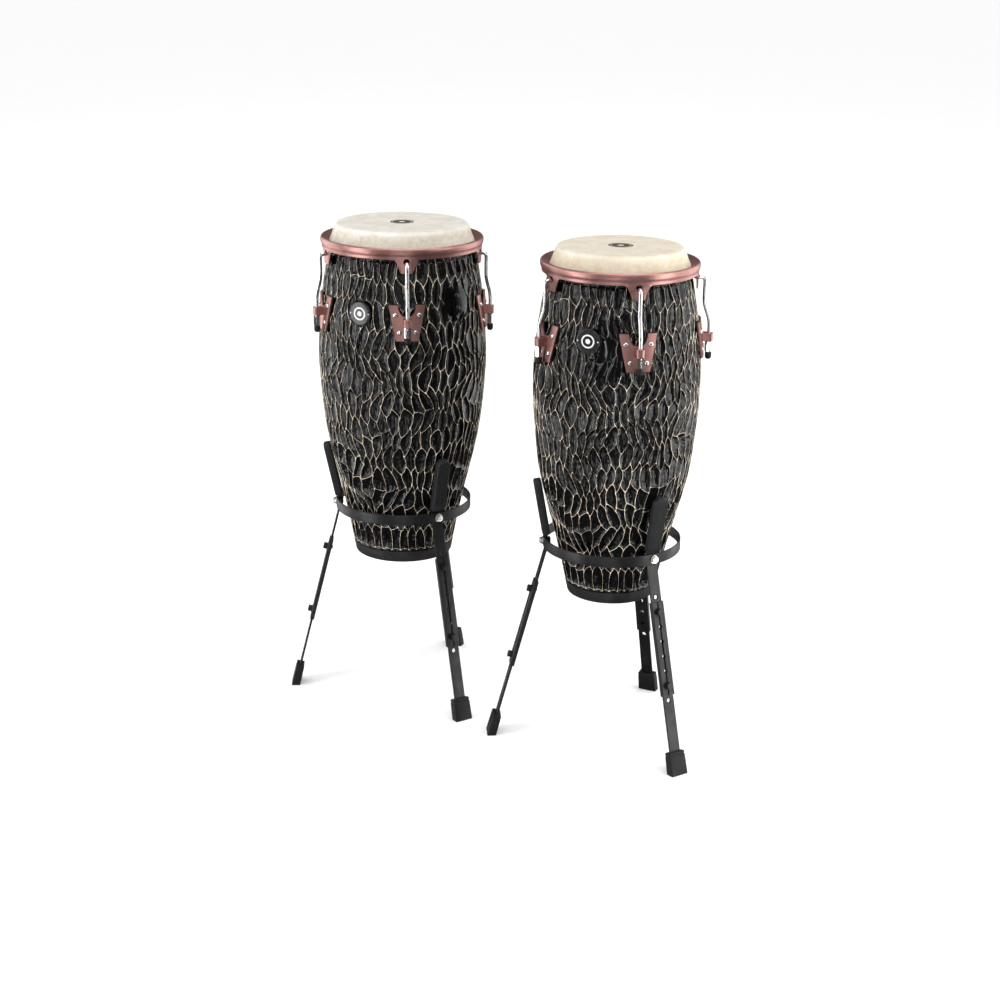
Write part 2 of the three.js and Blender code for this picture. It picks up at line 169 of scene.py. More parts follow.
class Nodes:
    """A short way to write a node material."""

    def __init__(self, name):
        self.material = bpy.data.materials.new(name)
        self.material.use_nodes = True
        self.tree = self.material.node_tree
        self.shader = self.tree.nodes["Principled BSDF"]
        self.coords = self.tree.nodes.new("ShaderNodeTexCoord").outputs["Object"]

    def node(self, kind, values=None, **settings):
        """A new node with its settings, and its inputs by name or number."""
        made = self.tree.nodes.new("ShaderNode" + kind)
        for key, value in settings.items():
            setattr(made, key, value)
        for key, value in (values or {}).items():
            self.put(made.inputs[key], value)
        return made

    def put(self, socket, value):
        if isinstance(value, bpy.types.NodeSocket):
            self.tree.links.new(value, socket)
        elif isinstance(value, (tuple, list)) and len(value) == 3 and len(socket.default_value) == 4:
            socket.default_value = (*value, 1.0)
        else:
            socket.default_value = value

    def set(self, **values):
        for key, value in values.items():
            self.put(self.shader.inputs[key.replace("_", " ")], value)

    def scaled(self, scale):
        """Object coordinates multiplied by a number for each axis."""
        return self.node("Mapping", {"Vector": self.coords, "Scale": scale}).outputs["Vector"]

    def noise(self, scale, detail, rough=0.55, vector=None, distortion=0.0):
        values = {"Vector": vector or self.coords, "Scale": scale, "Detail": detail, "Roughness": rough}
        return self.node("TexNoise", values | {"Distortion": distortion}).outputs["Fac"]

    def math(self, operation, *values, clamp=False):
        return self.node("Math", dict(enumerate(values)), operation=operation, use_clamp=clamp).outputs[0]

    def times(self, a, b):
        return self.math("MULTIPLY", a, b)

    def ramp(self, value, low, high, to_low=0.0, to_high=1.0):
        """A smooth step of value between two limits, onto another range."""
        values = dict(enumerate((value, low, high, to_low, to_high)))
        return self.node("MapRange", values, interpolation_type="SMOOTHSTEP").outputs["Result"]

    def mix(self, factor, a, b):
        return self.node("Mix", {"Factor": factor, 6: a, 7: b}, data_type="RGBA").outputs[2]

    def bump(self, height, distance, strength, normal=None):
        values = {"Height": height, "Distance": distance, "Strength": strength}
        if normal:
            values["Normal"] = normal
        return self.node("Bump", values).outputs["Normal"]

    def attribute(self, name):
        return self.node("Attribute", attribute_name=name).outputs["Fac"]


def carved_lacquer():
    """Gloss black over gouge marks, sanded back to pale wood along the ridges between them."""
    n = Nodes("carved_lacquer")
    streaks = n.noise(1.0, 2.5, 0.5, n.scaled((210.0, 210.0, 22.0)))
    ripples = n.noise(1.0, 1.0, 0.5, n.scaled((90.0, 90.0, 170.0)))
    worn = n.noise(260.0, 3.0, 0.6)
    patchy = n.noise(16.0, 2.0, 0.5)
    edge = n.attribute("ridge_mm")
    limit = n.times(n.math("MULTIPLY_ADD", worn, 0.54, 0.03), n.ramp(patchy, 0.34, 0.66, 0.3, 1.25))
    over = n.math("SUBTRACT", edge, limit)
    bare = n.ramp(over, -0.12, 0.10, 1.0, 0.0)
    stained = n.ramp(over, 0.0, 0.8, 0.4, 0.0)
    wood = n.mix(n.ramp(worn, 0.35, 0.7), (0.62, 0.50, 0.36), (0.90, 0.83, 0.70))
    black = n.mix(n.ramp(streaks, 0.3, 0.75), (0.0008, 0.0008, 0.0011), (0.0032, 0.0030, 0.0037))
    n.set(Base_Color=n.mix(bare, n.mix(stained, black, (0.05, 0.022, 0.010)), wood))
    n.set(Roughness=n.math("MULTIPLY_ADD", bare, 0.22, n.ramp(streaks, 0.3, 0.75, 0.1, 0.2)))
    carved = n.math("SUBTRACT", 1.0, n.attribute("polished"))
    fine = n.bump(n.times(streaks, carved), 0.0017, 1.0)
    n.set(Normal=n.bump(n.times(ripples, n.math("MULTIPLY_ADD", carved, 0.7, 0.5)), 0.0009, 0.7, fine))
    n.set(Specular_IOR_Level=0.3)
    return n.material


def bare_wood():
    """The shell's unfinished inside."""
    n = Nodes("shell_wood")
    grain = n.noise(1.0, 5.0, 0.6, n.scaled((160.0, 160.0, 9.0)), 0.6)
    broad = n.noise(6.0, 2.0)
    tone = n.mix(n.ramp(grain, 0.3, 0.72), (0.17, 0.085, 0.04), (0.38, 0.22, 0.115))
    n.set(Base_Color=n.mix(n.ramp(broad, 0.35, 0.7, 0.0, 0.4), tone, (0.11, 0.055, 0.028)))
    n.set(Roughness=n.ramp(grain, 0.3, 0.7, 0.6, 0.8), Normal=n.bump(grain, 0.0006, 0.7))
    return n.material


def band(n, distance, low, high):
    """One between two distances from the middle of a printed mark, and nothing elsewhere."""
    return n.times(n.ramp(distance, low, low + 0.4), n.ramp(distance, high, high + 0.4, 1.0, 0.0))


def hide(name, pale, warm, mottle):
    """Natural rawhide: pale and fibrous on top, warmer and more mottled where it is pulled over the edge."""
    n = Nodes(name)
    clouds = n.noise(24.0, 5.0, 0.6, distortion=0.6)
    veins = n.noise(75.0, 6.0, 0.7, distortion=1.4)
    pores = n.noise(900.0, 2.0, 0.5)
    fibres = n.noise(1.0, 4.0, 0.6, n.scaled((60.0, 340.0, 60.0)), 0.8)
    top = n.mix(n.ramp(clouds, 0.35, 0.68), pale, warm)
    top = n.mix(n.ramp(fibres, 0.45, 0.75, 0.0, 0.25), top, mottle)
    collar = n.mix(n.ramp(veins, 0.36, 0.66), warm, mottle)
    body = n.mix(n.times(n.attribute("collar"), n.ramp(clouds, 0.28, 0.6, 0.35, 1.0)), top, collar)
    ink = n.attribute("print_mm")
    disc = n.ramp(ink, 24.2, 24.8, 1.0, 0.0)
    left_out = n.math("ADD", band(n, ink, 18.6, 20.0), n.ramp(ink, 6.0, 6.5, 1.0, 0.0))
    printed = n.times(n.math("SUBTRACT", disc, left_out, clamp=True), n.ramp(pores, 0.2, 0.45, 0.82, 0.97))
    n.set(Base_Color=n.mix(printed, body, (0.035, 0.028, 0.026)))
    n.set(Roughness=n.ramp(clouds, 0.3, 0.7, 0.5, 0.68))
    n.set(Normal=n.bump(veins, 0.0006, 0.55, n.bump(pores, 0.00018, 0.6)))
    n.set(Specular_IOR_Level=0.35)
    n.set(Subsurface_Weight=0.06, Subsurface_Radius=(0.004, 0.0025, 0.0015), Subsurface_Scale=1.0)
    return n.material


def copper():
    """Satin antique copper plate."""
    n = Nodes("antique_copper")
    cloud = n.noise(42.0, 4.0, 0.6)
    grit = n.noise(1500.0, 2.0, 0.6)
    brushed = n.noise(1.0, 3.0, 0.6, n.scaled((500.0, 500.0, 3200.0)))
    tone = n.mix(n.ramp(cloud, 0.3, 0.7), (0.355, 0.177, 0.157), (0.42, 0.228, 0.204))
    n.set(Base_Color=n.mix(n.ramp(grit, 0.55, 0.8, 0.0, 0.35), tone, (0.30, 0.12, 0.10)))
    n.set(Metallic=0.95, Normal=n.bump(brushed, 0.00005, 0.5))
    n.set(Roughness=n.math("MULTIPLY_ADD", grit, 0.06, n.ramp(cloud, 0.3, 0.7, 0.36, 0.44)))
    return n.material


def bright_metal(name, colour, low, high, scratch):
    n = Nodes(name)
    smear = n.noise(60.0, 4.0, 0.6)
    scratches = n.noise(1.0, 2.0, 0.5, n.scaled((300.0, 300.0, 40.0)))
    dark = tuple(c * 0.82 for c in colour)
    n.set(Base_Color=n.mix(n.ramp(smear, 0.35, 0.7), colour, dark), Metallic=1.0)
    n.set(Roughness=n.ramp(smear, 0.3, 0.7, low, high), Normal=n.bump(scratches, scratch, 0.3))
    return n.material


def powder_coat():
    """Black powder coat with its orange peel, rubbed a little in random patches."""
    n = Nodes("black_powder_coat")
    peel = n.noise(1100.0, 2.0, 0.5)
    rubbed = n.noise(34.0, 5.0, 0.65)
    n.set(Base_Color=n.mix(n.ramp(rubbed, 0.5, 0.8), (0.0060, 0.0060, 0.0066), (0.016, 0.0155, 0.016)))
    n.set(Roughness=n.ramp(rubbed, 0.3, 0.75, 0.36, 0.52), Normal=n.bump(peel, 0.00022, 0.6))
    n.set(Specular_IOR_Level=0.3)
    return n.material


def rubber(name, colour, roughness):
    n = Nodes(name)
    dust = n.noise(48.0, 5.0, 0.65)
    grain = n.noise(1600.0, 2.0, 0.5)
    dusty = tuple(c * 1.8 + 0.002 for c in colour)
    n.set(Base_Color=n.mix(n.ramp(dust, 0.45, 0.85), colour, dusty), Specular_IOR_Level=0.3)
    n.set(Roughness=n.ramp(dust, 0.3, 0.75, roughness - 0.07, roughness + 0.08))
    n.set(Normal=n.bump(grain, 0.00016, 0.7))
    return n.material


def badge_face():
    """A gloss black disc with a plain ring and dot in off-white, read from its own distance attribute."""
    n = Nodes("badge_face")
    r = n.attribute("print_mm")
    scuff = n.noise(420.0, 4.0, 0.6)
    mark = n.math("ADD", band(n, r, 10.2, 13.0), n.ramp(r, 4.6, 5.0, 1.0, 0.0), clamp=True)
    black = n.mix(n.ramp(scuff, 0.4, 0.7), (0.012, 0.012, 0.014), (0.03, 0.03, 0.033))
    white = n.mix(n.ramp(scuff, 0.35, 0.7), (0.78, 0.77, 0.74), (0.62, 0.61, 0.58))
    n.set(Base_Color=n.mix(mark, black, white), Specular_IOR_Level=0.3)
    n.set(Roughness=n.ramp(scuff, 0.3, 0.7, 0.16, 0.3), Normal=n.bump(scuff, 0.00012, 0.5))
    return n.material


# each look is a material and the slot that it stands for
LACQUER = carved_lacquer(), "shell_lacquer"
WOOD = bare_wood()
HIDES = {
    "conga": (hide("rawhide_pale", (0.675, 0.65, 0.605), (0.58, 0.545, 0.47), (0.46, 0.41, 0.31)), "rawhide"),
    "quinto": (hide("rawhide_warm", (0.68, 0.625, 0.54), (0.61, 0.54, 0.425), (0.54, 0.45, 0.31)), "rawhide"),
}
COPPER = copper(), "antique_copper"
CHROME = bright_metal("chrome", (0.70, 0.70, 0.71), 0.10, 0.18, 0.00002), "chrome"
ZINC = bright_metal("zinc_bolt", (0.62, 0.61, 0.58), 0.22, 0.36, 0.00004), "chrome"
STEEL = bright_metal("hoop_steel", (0.36, 0.36, 0.37), 0.32, 0.46, 0.00006), "hoop_steel"
POWDER = powder_coat(), "stand_black"
RUBBER = rubber("black_rubber", (0.005, 0.005, 0.0055), 0.6), "black_rubber"
PAD_RUBBER = rubber("ribbed_rubber", (0.010, 0.0105, 0.0115), 0.55), "black_rubber"
BASE_RUBBER = rubber("base_ring_rubber", (0.014, 0.0135, 0.0145), 0.42), "black_rubber"
BADGE = badge_face(), "shell_lacquer"
GLOSS_CAP = rubber("gloss_black_cap", (0.006, 0.006, 0.007), 0.2), "black_rubber"

# ---- Mesh tools ----


def new_piece(name, points, faces):
    mesh = bpy.data.meshes.new(name)
    mesh.from_pydata(np.asarray(points).tolist(), [], faces)
    working = bmesh.new()
    working.from_mesh(mesh)
    bmesh.ops.recalc_face_normals(working, faces=working.faces)
    working.to_mesh(mesh)
    working.free()
    piece = bpy.data.objects.new(name, mesh)
    bpy.context.scene.collection.objects.link(piece)
    return piece


def make(kit, name, shape, look, body, azimuth=0.0, node=None, sharp=35.0, values=None):
    piece = new_piece(f"{kit.name}_{name}", kit.world(shape[0], azimuth), shape[1])
    mesh = piece.data
    for key, numbers in (values or {}).items():
        layer = mesh.attributes.new(key, "FLOAT", "POINT")
        layer.data.foreach_set("value", np.asarray(numbers, np.float32))
    material, slot = look
    mesh.materials.append(material)
    mesh.shade_smooth()
    mesh.set_sharp_from_angle(angle=math.radians(sharp))
    if body:
        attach(piece, f"{kit.name}_{body}")
    if node:
        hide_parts(f"{kit.name}_{node}")
    return piece


def soften(piece, width, angle=32.0):
    """Rounds a piece's edges."""
    bevel = piece.modifiers.new("edges", "BEVEL")
    bevel.width = width * MM
    bevel.segments = 2
    bevel.limit_method = "ANGLE"
    bevel.angle_limit = math.radians(angle)
    bevel.use_clamp_overlap = True


def cut(piece, kit, shapes, azimuth=0.0):
    """Takes cutter shapes out of a piece for good."""
    points, faces = join(*shapes)
    cutter = new_piece("cutter", kit.world(points, azimuth), faces)
    difference = piece.modifiers.new("cut", "BOOLEAN")
    difference.operation = "DIFFERENCE"
    difference.solver = "EXACT"
    difference.object = cutter
    bpy.context.view_layer.update()
    made = bpy.data.meshes.new_from_object(piece.evaluated_get(bpy.context.evaluated_depsgraph_get()))
    piece.modifiers.clear()
    piece.data = made
    bpy.data.objects.remove(cutter)
    made.set_sharp_from_angle(angle=math.radians(35))


def grid_faces(rows, columns, closed=False):
    """Quads between rows of points that each go all the way round; closed joins the last row to the first."""
    faces = []
    for i in range(rows if closed else rows - 1):
        for j in range(columns):
            side, start, after = (j + 1) % columns, i * columns, (i + 1) % rows * columns
            faces.append((start + j, start + side, after + side, after + j))
    return faces


def capped(rows, columns):
    """The faces of a closed body of such rows, with a cap over the first and the last."""
    last = (rows - 1) * columns
    return grid_faces(rows, columns) + [tuple(range(columns))[::-1], tuple(range(last, last + columns))]


def lathe(profile, segments=144, closed=True):
    """Radius/height pairs turned about the axis: a ring, or a capped body if it isn't closed."""
    points = np.concatenate([about_axis(r, around(segments), z) for r, z in profile])
    return points, grid_faces(len(profile), segments, True) if closed else capped(len(profile), segments)


def rounded(corners, radius, steps=3):
    """A closed outline with its corners rounded, by one radius or a list."""
    out = []
    count = len(corners)
    for i in range(count):
        before, corner, after = (np.array(corners[(i + k) % count], float) for k in (-1, 0, 1))
        into, out_of = before - corner, after - corner
        room = [0.49 * np.linalg.norm(into), 0.49 * np.linalg.norm(out_of)]
        reach = min(radius[i] if isinstance(radius, list) else radius, *room)
        if reach < 1e-6:
            out.append(tuple(corner))
            continue
        start = corner + into / np.linalg.norm(into) * reach
        end = corner + out_of / np.linalg.norm(out_of) * reach
        out += map(tuple, arc_points(start, corner, end, steps + 1))
    return out


def arc_points(start, control, end, steps):
    t = np.linspace(0, 1, steps)[:, None]
    start, control, end = map(np.array, (start, control, end))
    return (1 - t) ** 2 * start + 2 * t * (1 - t) * control + t**2 * end


def prism(outline, low, high, place):
    """An extruded outline. place turns (a, b, along) into a local point."""
    points = [place(a, b, along) for along in (low, high) for a, b in outline]
    return np.array(points), capped(2, len(outline))


def upright(a, b, along):
    return a, b, along


def crosswise(a, b, along):
    return a, along, b


def circle(radius, across=0.0, up=0.0, sides=24):
    return [(across + radius * math.cos(t), up + radius * math.sin(t)) for t in around(sides)]


def tube(path, radii, sides=16):
    """A round bar along a path, with a radius for each point of it."""
    path = np.asarray(path, float)
    tangents = np.gradient(path, axis=0)
    tangents /= np.linalg.norm(tangents, axis=1)[:, None]
    side = np.array([1.0, 0.0, 0.0])
    turns = around(sides)
    points = []
    for centre, tangent, r in zip(path, tangents, radii):
        a = side - tangent * side.dot(tangent)
        a /= np.linalg.norm(a)
        b = np.cross(tangent, a)
        points.append(centre + np.outer(np.cos(turns) * r, a) + np.outer(np.sin(turns) * r, b))
    return np.concatenate(points), capped(len(path), sides)


def join(*shapes):
    """Several shapes as one."""
    points, faces, start = [], [], 0
    for shape_points, shape_faces in shapes:
        points.append(np.asarray(shape_points, float))
        faces += [tuple(start + i for i in face) for face in shape_faces]
        start += len(shape_points)
    return np.concatenate(points), faces


def radial_holes(azimuths, radius, inner, outer, height, sides):
    """Cutters: round bars along the radius at several azimuths."""
    points, faces = prism(circle(radius, 0.0, height, sides), -inner, -outer, crosswise)
    return [(turned(points, azimuth), faces) for azimuth in azimuths]


def turned_radially(profile, face, height, across=0.0, sides=24):
    """Pairs of radius and reach beyond a face, turned about a line along the radius at azimuth 0."""
    points = [(a, -face - reach, b) for r, reach in profile for a, b in circle(r, across, height, sides)]
    return np.array(points), capped(len(profile), sides)


def hexagon(angles, flats):
    """A hexagon's radius at each angle, from its width over the flats."""
    return flats / 2 / np.cos((angles + math.pi / 6) % (math.pi / 3) - math.pi / 6)


def rectangle(left, right, low, high):
    return [(left, low), (right, low), (right, high), (left, high)]


# ---- The carved shell ----

CELL_WIDTH = 19.2
CELL_STRETCH = 2.95
ROW_SHARE = 0.8  # a row's pitch in stretched widths: 0.5 packs diamonds, 0.87 regular hexagons
CARVE_TOP, CARVE_BOTTOM = 53.0, 682.5
SCOOP = 3.5
# sideways waves of the pattern: size, waves round the drum, length down it and phase
SWAYS = ((4.6, 6, 125.0, 0.3), (5.4, -4, 180.0, 2.1), (1.0, -19, 95.0, 4.0), (3.8, 5, -110.0, 1.2))
# upward waves of its rows: size, waves round the drum and phase
RISES = ((11.0, 3, 0.4), (8.0, 7, 2.0), (5.0, 11, 4.4))
CORNER_FILL = 0.55  # how much wider a ridge grows where ridges meet, in millimetres
RINGS = (0.95, 0.89, 0.8, 0.63, 0.42, 0.2)  # sizes of the rings of points inside a gouge mark
UNCARVED = 9.0  # the distance from a ridge that plain surfaces are given
TOP_EDGE, BOTTOM_EDGE, SIDE_EDGE = -1, -2, -9
# the shoulder under the rim, which leaves the flesh hoop its travel: depth, and radius beyond the head's
TUCK = ((53.0, 9.7), (54.5, 9.9), (56.0, 10.3), (57.0, 10.9), (58.0, 12.0), (58.8, 13.4), (59.4, 15.5))
# plain areas: azimuth, depth, half width, half height, softness of the border, how far the marks are levelled
PLAIN = {
    "conga": [(46.5, 141.0, 28.0, 29.0, 0.35, 1.0), (-24.7, 162.0, 21.5, 21.5, 0.18, 1.0)],
    "quinto": [(-21.9, 158.0, 21.5, 21.5, 0.18, 1.0), (-7.5, 176.0, 25.0, 46.0, 0.35, 0.15)],
}


def clip(polygon, a, b, c, tag):
    """The part of a polygon where a x + b y <= c. Each point's tag names the edge that leaves it."""
    out = []
    for i, p in enumerate(polygon):
        q = polygon[(i + 1) % len(polygon)]
        dp, dq = a * p[0] + b * p[1] - c, a * q[0] + b * q[1] - c
        if dp <= 0:
            out.append(p)
        if (dp <= 0) != (dq <= 0):
            t = dp / (dp - dq)
            out.append((p[0] + (q[0] - p[0]) * t, p[1] + (q[1] - p[1]) * t, tag if dp <= 0 else p[2]))
    return out


def voronoi(seeds, low, high):
    """Cells of seeds (angle, y) on a band that wraps round in angle, as tagged polygons."""
    cells = []
    for x, y in seeds:
        dx, dy = wrapped(seeds[:, 0] - x), seeds[:, 1] - y
        shift = np.rint((x + dx - seeds[:, 0]) / TURN).astype(int)
        polygon = [(x - 0.6, low, TOP_EDGE), (x + 0.6, low, SIDE_EDGE),
                   (x + 0.6, high, BOTTOM_EDGE), (x - 0.6, high, SIDE_EDGE)]
        for j in np.argsort(dx * dx + dy * dy)[1:19]:
            qx, qy = x + dx[j], y + dy[j]
            c = (qx * qx + qy * qy - x * x - y * y) / 2
            polygon = clip(polygon, qx - x, qy - y, c, (int(j), int(shift[j])))
        cells.append(polygon)
    return cells


def corner_key(cell, before, after):
    """The same key for a corner from each of the cells that meet there, however often each wraps round."""
    sides = [(cell, 0)] + [t for t in (before, after) if isinstance(t, tuple)]
    edge = [t for t in (before, after) if not isinstance(t, tuple)]
    base = min(sides)[1]
    return tuple(sorted((index, shift - base) for index, shift in sides)) + tuple(edge)


def from_edges(spots, loop, walls):
    """How far spots are from a cell's edges, less where two are both near, so that ridges thicken there."""
    along = np.roll(loop, -1, axis=0) - loop
    gap = spots[:, None] - loop[None]
    t = np.clip((gap * along).sum(2) / np.maximum((along * along).sum(1), 1e-9), 0, 1)
    reach = np.linalg.norm(gap - t[:, :, None] * along, axis=2)
    walls = np.array(walls)
    sides = [reach[:, walls == k].min(axis=1) for k in sorted(set(walls[walls >= 0].tolist()))]
    return -CORNER_FILL * np.log(sum(np.exp(-side / CORNER_FILL) for side in sides))


def next_row(previous, count, rng):
    """Angles of a row of marks, each halfway between two of the row before, as far as the count allows."""
    if len(previous) < 2:
        return around(count)
    marks = list((previous + np.append(previous[1:], previous[0] + TURN)) / 2)
    changes, start = abs(len(marks) - count), rng.random()
    for change in range(changes):
        k = 1 + int((len(marks) - 2) * ((start + change / changes) % 1))
        if len(marks) > count:
            marks.pop(k)
        else:
            marks.insert(k, (marks[k - 1] + marks[k]) / 2)
    marks = np.array(marks)
    for _ in range(10):
        before = np.append(marks[-1] - TURN, marks[:-1])
        after = np.append(marks[1:], marks[0] + TURN)
        marks = marks * 0.4 + (before + after) * 0.3
    return marks


class Carving:
    """The shell's outer surface as gouge marks that meet in ridges. flat holds each point's angle and depth,
    lift its height over the ridges, ridge its distance from the nearest, and rims the surface's two edges."""

    def __init__(self, kit):
        self.kit = kit
        self.rng = random.Random(kit.seed)
        self.flat, self.lift, self.ridge, self.faces = [], [], [], []
        self.corners, self.edges = {}, {}
        self.rims = {TOP_EDGE: [], BOTTOM_EDGE: []}
        self.depths = np.linspace(CARVE_TOP, CARVE_BOTTOM, 400)
        radii = kit.radius(self.depths)
        steps = np.hypot(np.diff(self.depths), np.diff(radii)) / (CELL_STRETCH * (radii[1:] + radii[:-1]) / 2)
        self.levels = np.concatenate([[0], np.cumsum(steps)])
        seeds = self.seeds()
        cells = voronoi(seeds, 0.0, self.levels[-1])
        self.rank = [self.rng.random() for _ in cells]
        self.centres = [self.swayed(angle, level) for angle, level in seeds]
        for number, polygon in enumerate(cells):
            self.gouge(number, polygon)

    def seeds(self):
        """The marks' middles in staggered rows: angle, and level down a map that stretches cells evenly."""
        rows = int(round((CARVE_BOTTOM - CARVE_TOP) / (CELL_WIDTH * ROW_SHARE * CELL_STRETCH)))
        seeds, marks = [], ()
        for row in range(rows):
            share = (row + 0.42) / rows
            depth = CARVE_TOP + (CARVE_BOTTOM - CARVE_TOP) * share
            count = int(round(TURN * self.kit.radius(depth) / CELL_WIDTH))
            marks = next_row(marks, count, self.rng)
            calm = 0.35 if row == rows - 1 else 1.0
            for angle in marks:
                angle += self.rng.uniform(-0.09, 0.09) * calm * TURN / count
                rise = sum(a * math.sin(n * angle + p + 0.35 * row) for a, n, p in RISES)
                moved = depth + rise * min(1, 4 * share, 4 * (1 - share)) + self.rng.uniform(-6.0, 6.0) * calm
                seeds.append((angle % TURN, np.interp(moved, self.depths, self.levels)))
        return np.array(seeds)

    def swayed(self, angle, level):
        """The angle and depth that the sideways waves give to a place on the even pattern."""
        depth = np.interp(level, self.levels, self.depths)
        fade = smoothstep(depth, CARVE_TOP, CARVE_TOP + 30)
        fade *= 1 - 0.8 * smoothstep(depth, CARVE_BOTTOM - 90, CARVE_BOTTOM)
        shift = sum(a * math.sin(n * angle + TURN * depth / length + p) for a, n, length, p in SWAYS)
        return angle + shift * fade / self.kit.radius(depth), depth

    def add(self, angle, depth, lift=0.0, ridge=0.0):
        self.flat.append((angle, depth))
        self.lift.append(lift)
        self.ridge.append(ridge)
        return len(self.flat) - 1

    def corner(self, key, angle, level):
        if key not in self.corners:
            self.corners[key] = self.add(*self.swayed(angle, level))
        return self.corners[key]

    def edge(self, first, last, tag, cell):
        """The points between two corners, made once for both of the cells beside them."""
        key = min(first, last), max(first, last)
        if key not in self.edges:
            self.edges[key] = self.bowed(self.flat[key[0]], self.flat[key[1]], tag, cell)
        return self.edges[key] if first == key[0] else self.edges[key][::-1]

    def bowed(self, a, b, tag, cell):
        """Points between two places, bowed towards the cell that was cut earlier."""
        wrap = round((b[0] - a[0]) / TURN) * TURN
        middle = (a[0] + b[0] - wrap) / 2, (a[1] + b[1]) / 2
        radius = self.kit.radius(middle[1])
        du, dv = (b[0] - wrap - a[0]) * radius, b[1] - a[1]
        length = math.hypot(du, dv)
        pieces = max(2, min(8, int(length / 4.5)))
        if tag == TOP_EDGE:
            bow = 0.0
        elif tag == BOTTOM_EDGE:
            bow = 4.2 if du < 0 else -4.2
            pieces = 6
        else:
            centre = self.centres[cell]
            out = wrapped(middle[0] - centre[0]) * radius * -dv + (middle[1] - centre[1]) * du
            earlier = self.rank[cell] > self.rank[tag[0]]
            bow = min(length * 0.085, 2.0) * (1 if earlier == (out > 0) else -1)
        made = []
        for t in np.arange(1, pieces) / pieces:
            arc = 4 * t * (1 - t) * bow / max(length, 1e-9)
            made.append(self.add(a[0] + (du * t - dv * arc) / radius, a[1] + dv * t + du * arc))
        return made

    def gouge(self, cell, polygon):
        """One mark: rings of points that shrink from the cell's edge onto a spine along its length."""
        corners = [self.corner(corner_key(cell, polygon[k - 1][2], tag), angle, level)
                   for k, (angle, level, tag) in enumerate(polygon)]
        loop = []
        walls = []  # which side of the polygon each stretch of the loop belongs to, or -1 for none
        for k, (first, (_, _, tag)) in enumerate(zip(corners, polygon)):
            last = corners[(k + 1) % len(corners)]
            if first == last:
                continue
            stretch = [first] + self.edge(first, last, tag, cell)
            loop += stretch
            walls += [-1 if tag == TOP_EDGE else k] * len(stretch)
            if tag in self.rims:
                self.rims[tag].append(stretch + [last])
        angle, depth = self.centres[cell]
        radius = self.kit.radius(depth)
        local = np.array([self.flat[p] for p in loop]) - (angle, depth)
        local[:, 0] = wrapped(local[:, 0]) * radius
        middle = local.mean(axis=0)
        spread = local - middle
        _, axes = np.linalg.eigh(spread.T @ spread)
        across, along = (spread @ axes).T
        half_long, half_wide = np.ptp(along) / 2, np.ptp(across) / 2
        shift = (along.max() + along.min()) / 2
        spine = max(0.0, half_long - half_wide * 1.25)
        base = middle + (np.clip(along - shift, -spine, spine) + shift)[:, None] * axes[:, 1]
        deep = SCOOP * min(1.15, half_wide / 8.0) * self.rng.uniform(0.85, 1.12)
        lean = self.rng.uniform(-0.3, 0.3)
        rings = [loop]
        for share in RINGS:
            spots = base + (local - base) * share
            height = -deep * (1 - share**1.9) ** 0.92
            tilts = 1 + lean * ((spots - middle) @ axes[:, 0]) / max(half_wide, 1.0)
            rings.append([self.add(angle + u / radius, depth + v, height * tilt, near)
                          for (u, v), tilt, near in zip(spots, tilts, from_edges(spots, local, walls))])
        for outer, inner in zip(rings, rings[1:]):
            self.faces += [(outer[k], inner[k], inner[k - 1], outer[k - 1]) for k in range(len(loop))]
        lowest = self.add(angle + middle[0] / radius, depth + middle[1], -deep, half_wide)
        self.faces += [(rings[-1][k - 1], lowest, rings[-1][k]) for k in range(len(loop))]

    def levelled(self, plain):
        """The surface's numbers as arrays, with its plain areas smoothed, and how polished each point is."""
        flat, lift, ridge = np.array(self.flat), np.array(self.lift), np.array(self.ridge)
        polished = np.zeros(len(flat))
        for azimuth, depth, half_wide, half_tall, soft, share in plain:
            u = wrapped(flat[:, 0] - math.radians(azimuth)) * self.kit.radius(flat[:, 1])
            reach = np.abs(u / half_wide) ** 2.6 + np.abs((flat[:, 1] - depth) / half_tall) ** 2.6
            keep = smoothstep(reach ** (1 / 2.6), 1.0, 1.0 + soft)
            ridge += 6.0 * (1 - keep)
            lift = (lift * keep - 0.9 * (1 - keep)) * share + lift * (1 - share)
            polished = np.maximum(polished, 1 - keep)
        return flat, lift, ridge, polished

    def rim_loop(self, tag):
        """Point numbers of an edge of the surface in order of growing angle."""
        follow = {a: b for chain in self.rims[tag] for a, b in zip(chain, chain[1:])}
        loop = [min(follow, key=lambda p: self.flat[p][0] % TURN)]
        while follow[loop[-1]] != loop[0]:
            loop.append(follow[loop[-1]])
        if wrapped(self.flat[loop[1]][0] - self.flat[loop[0]][0]) > 0:
            return loop
        return loop[:1] + loop[:0:-1]


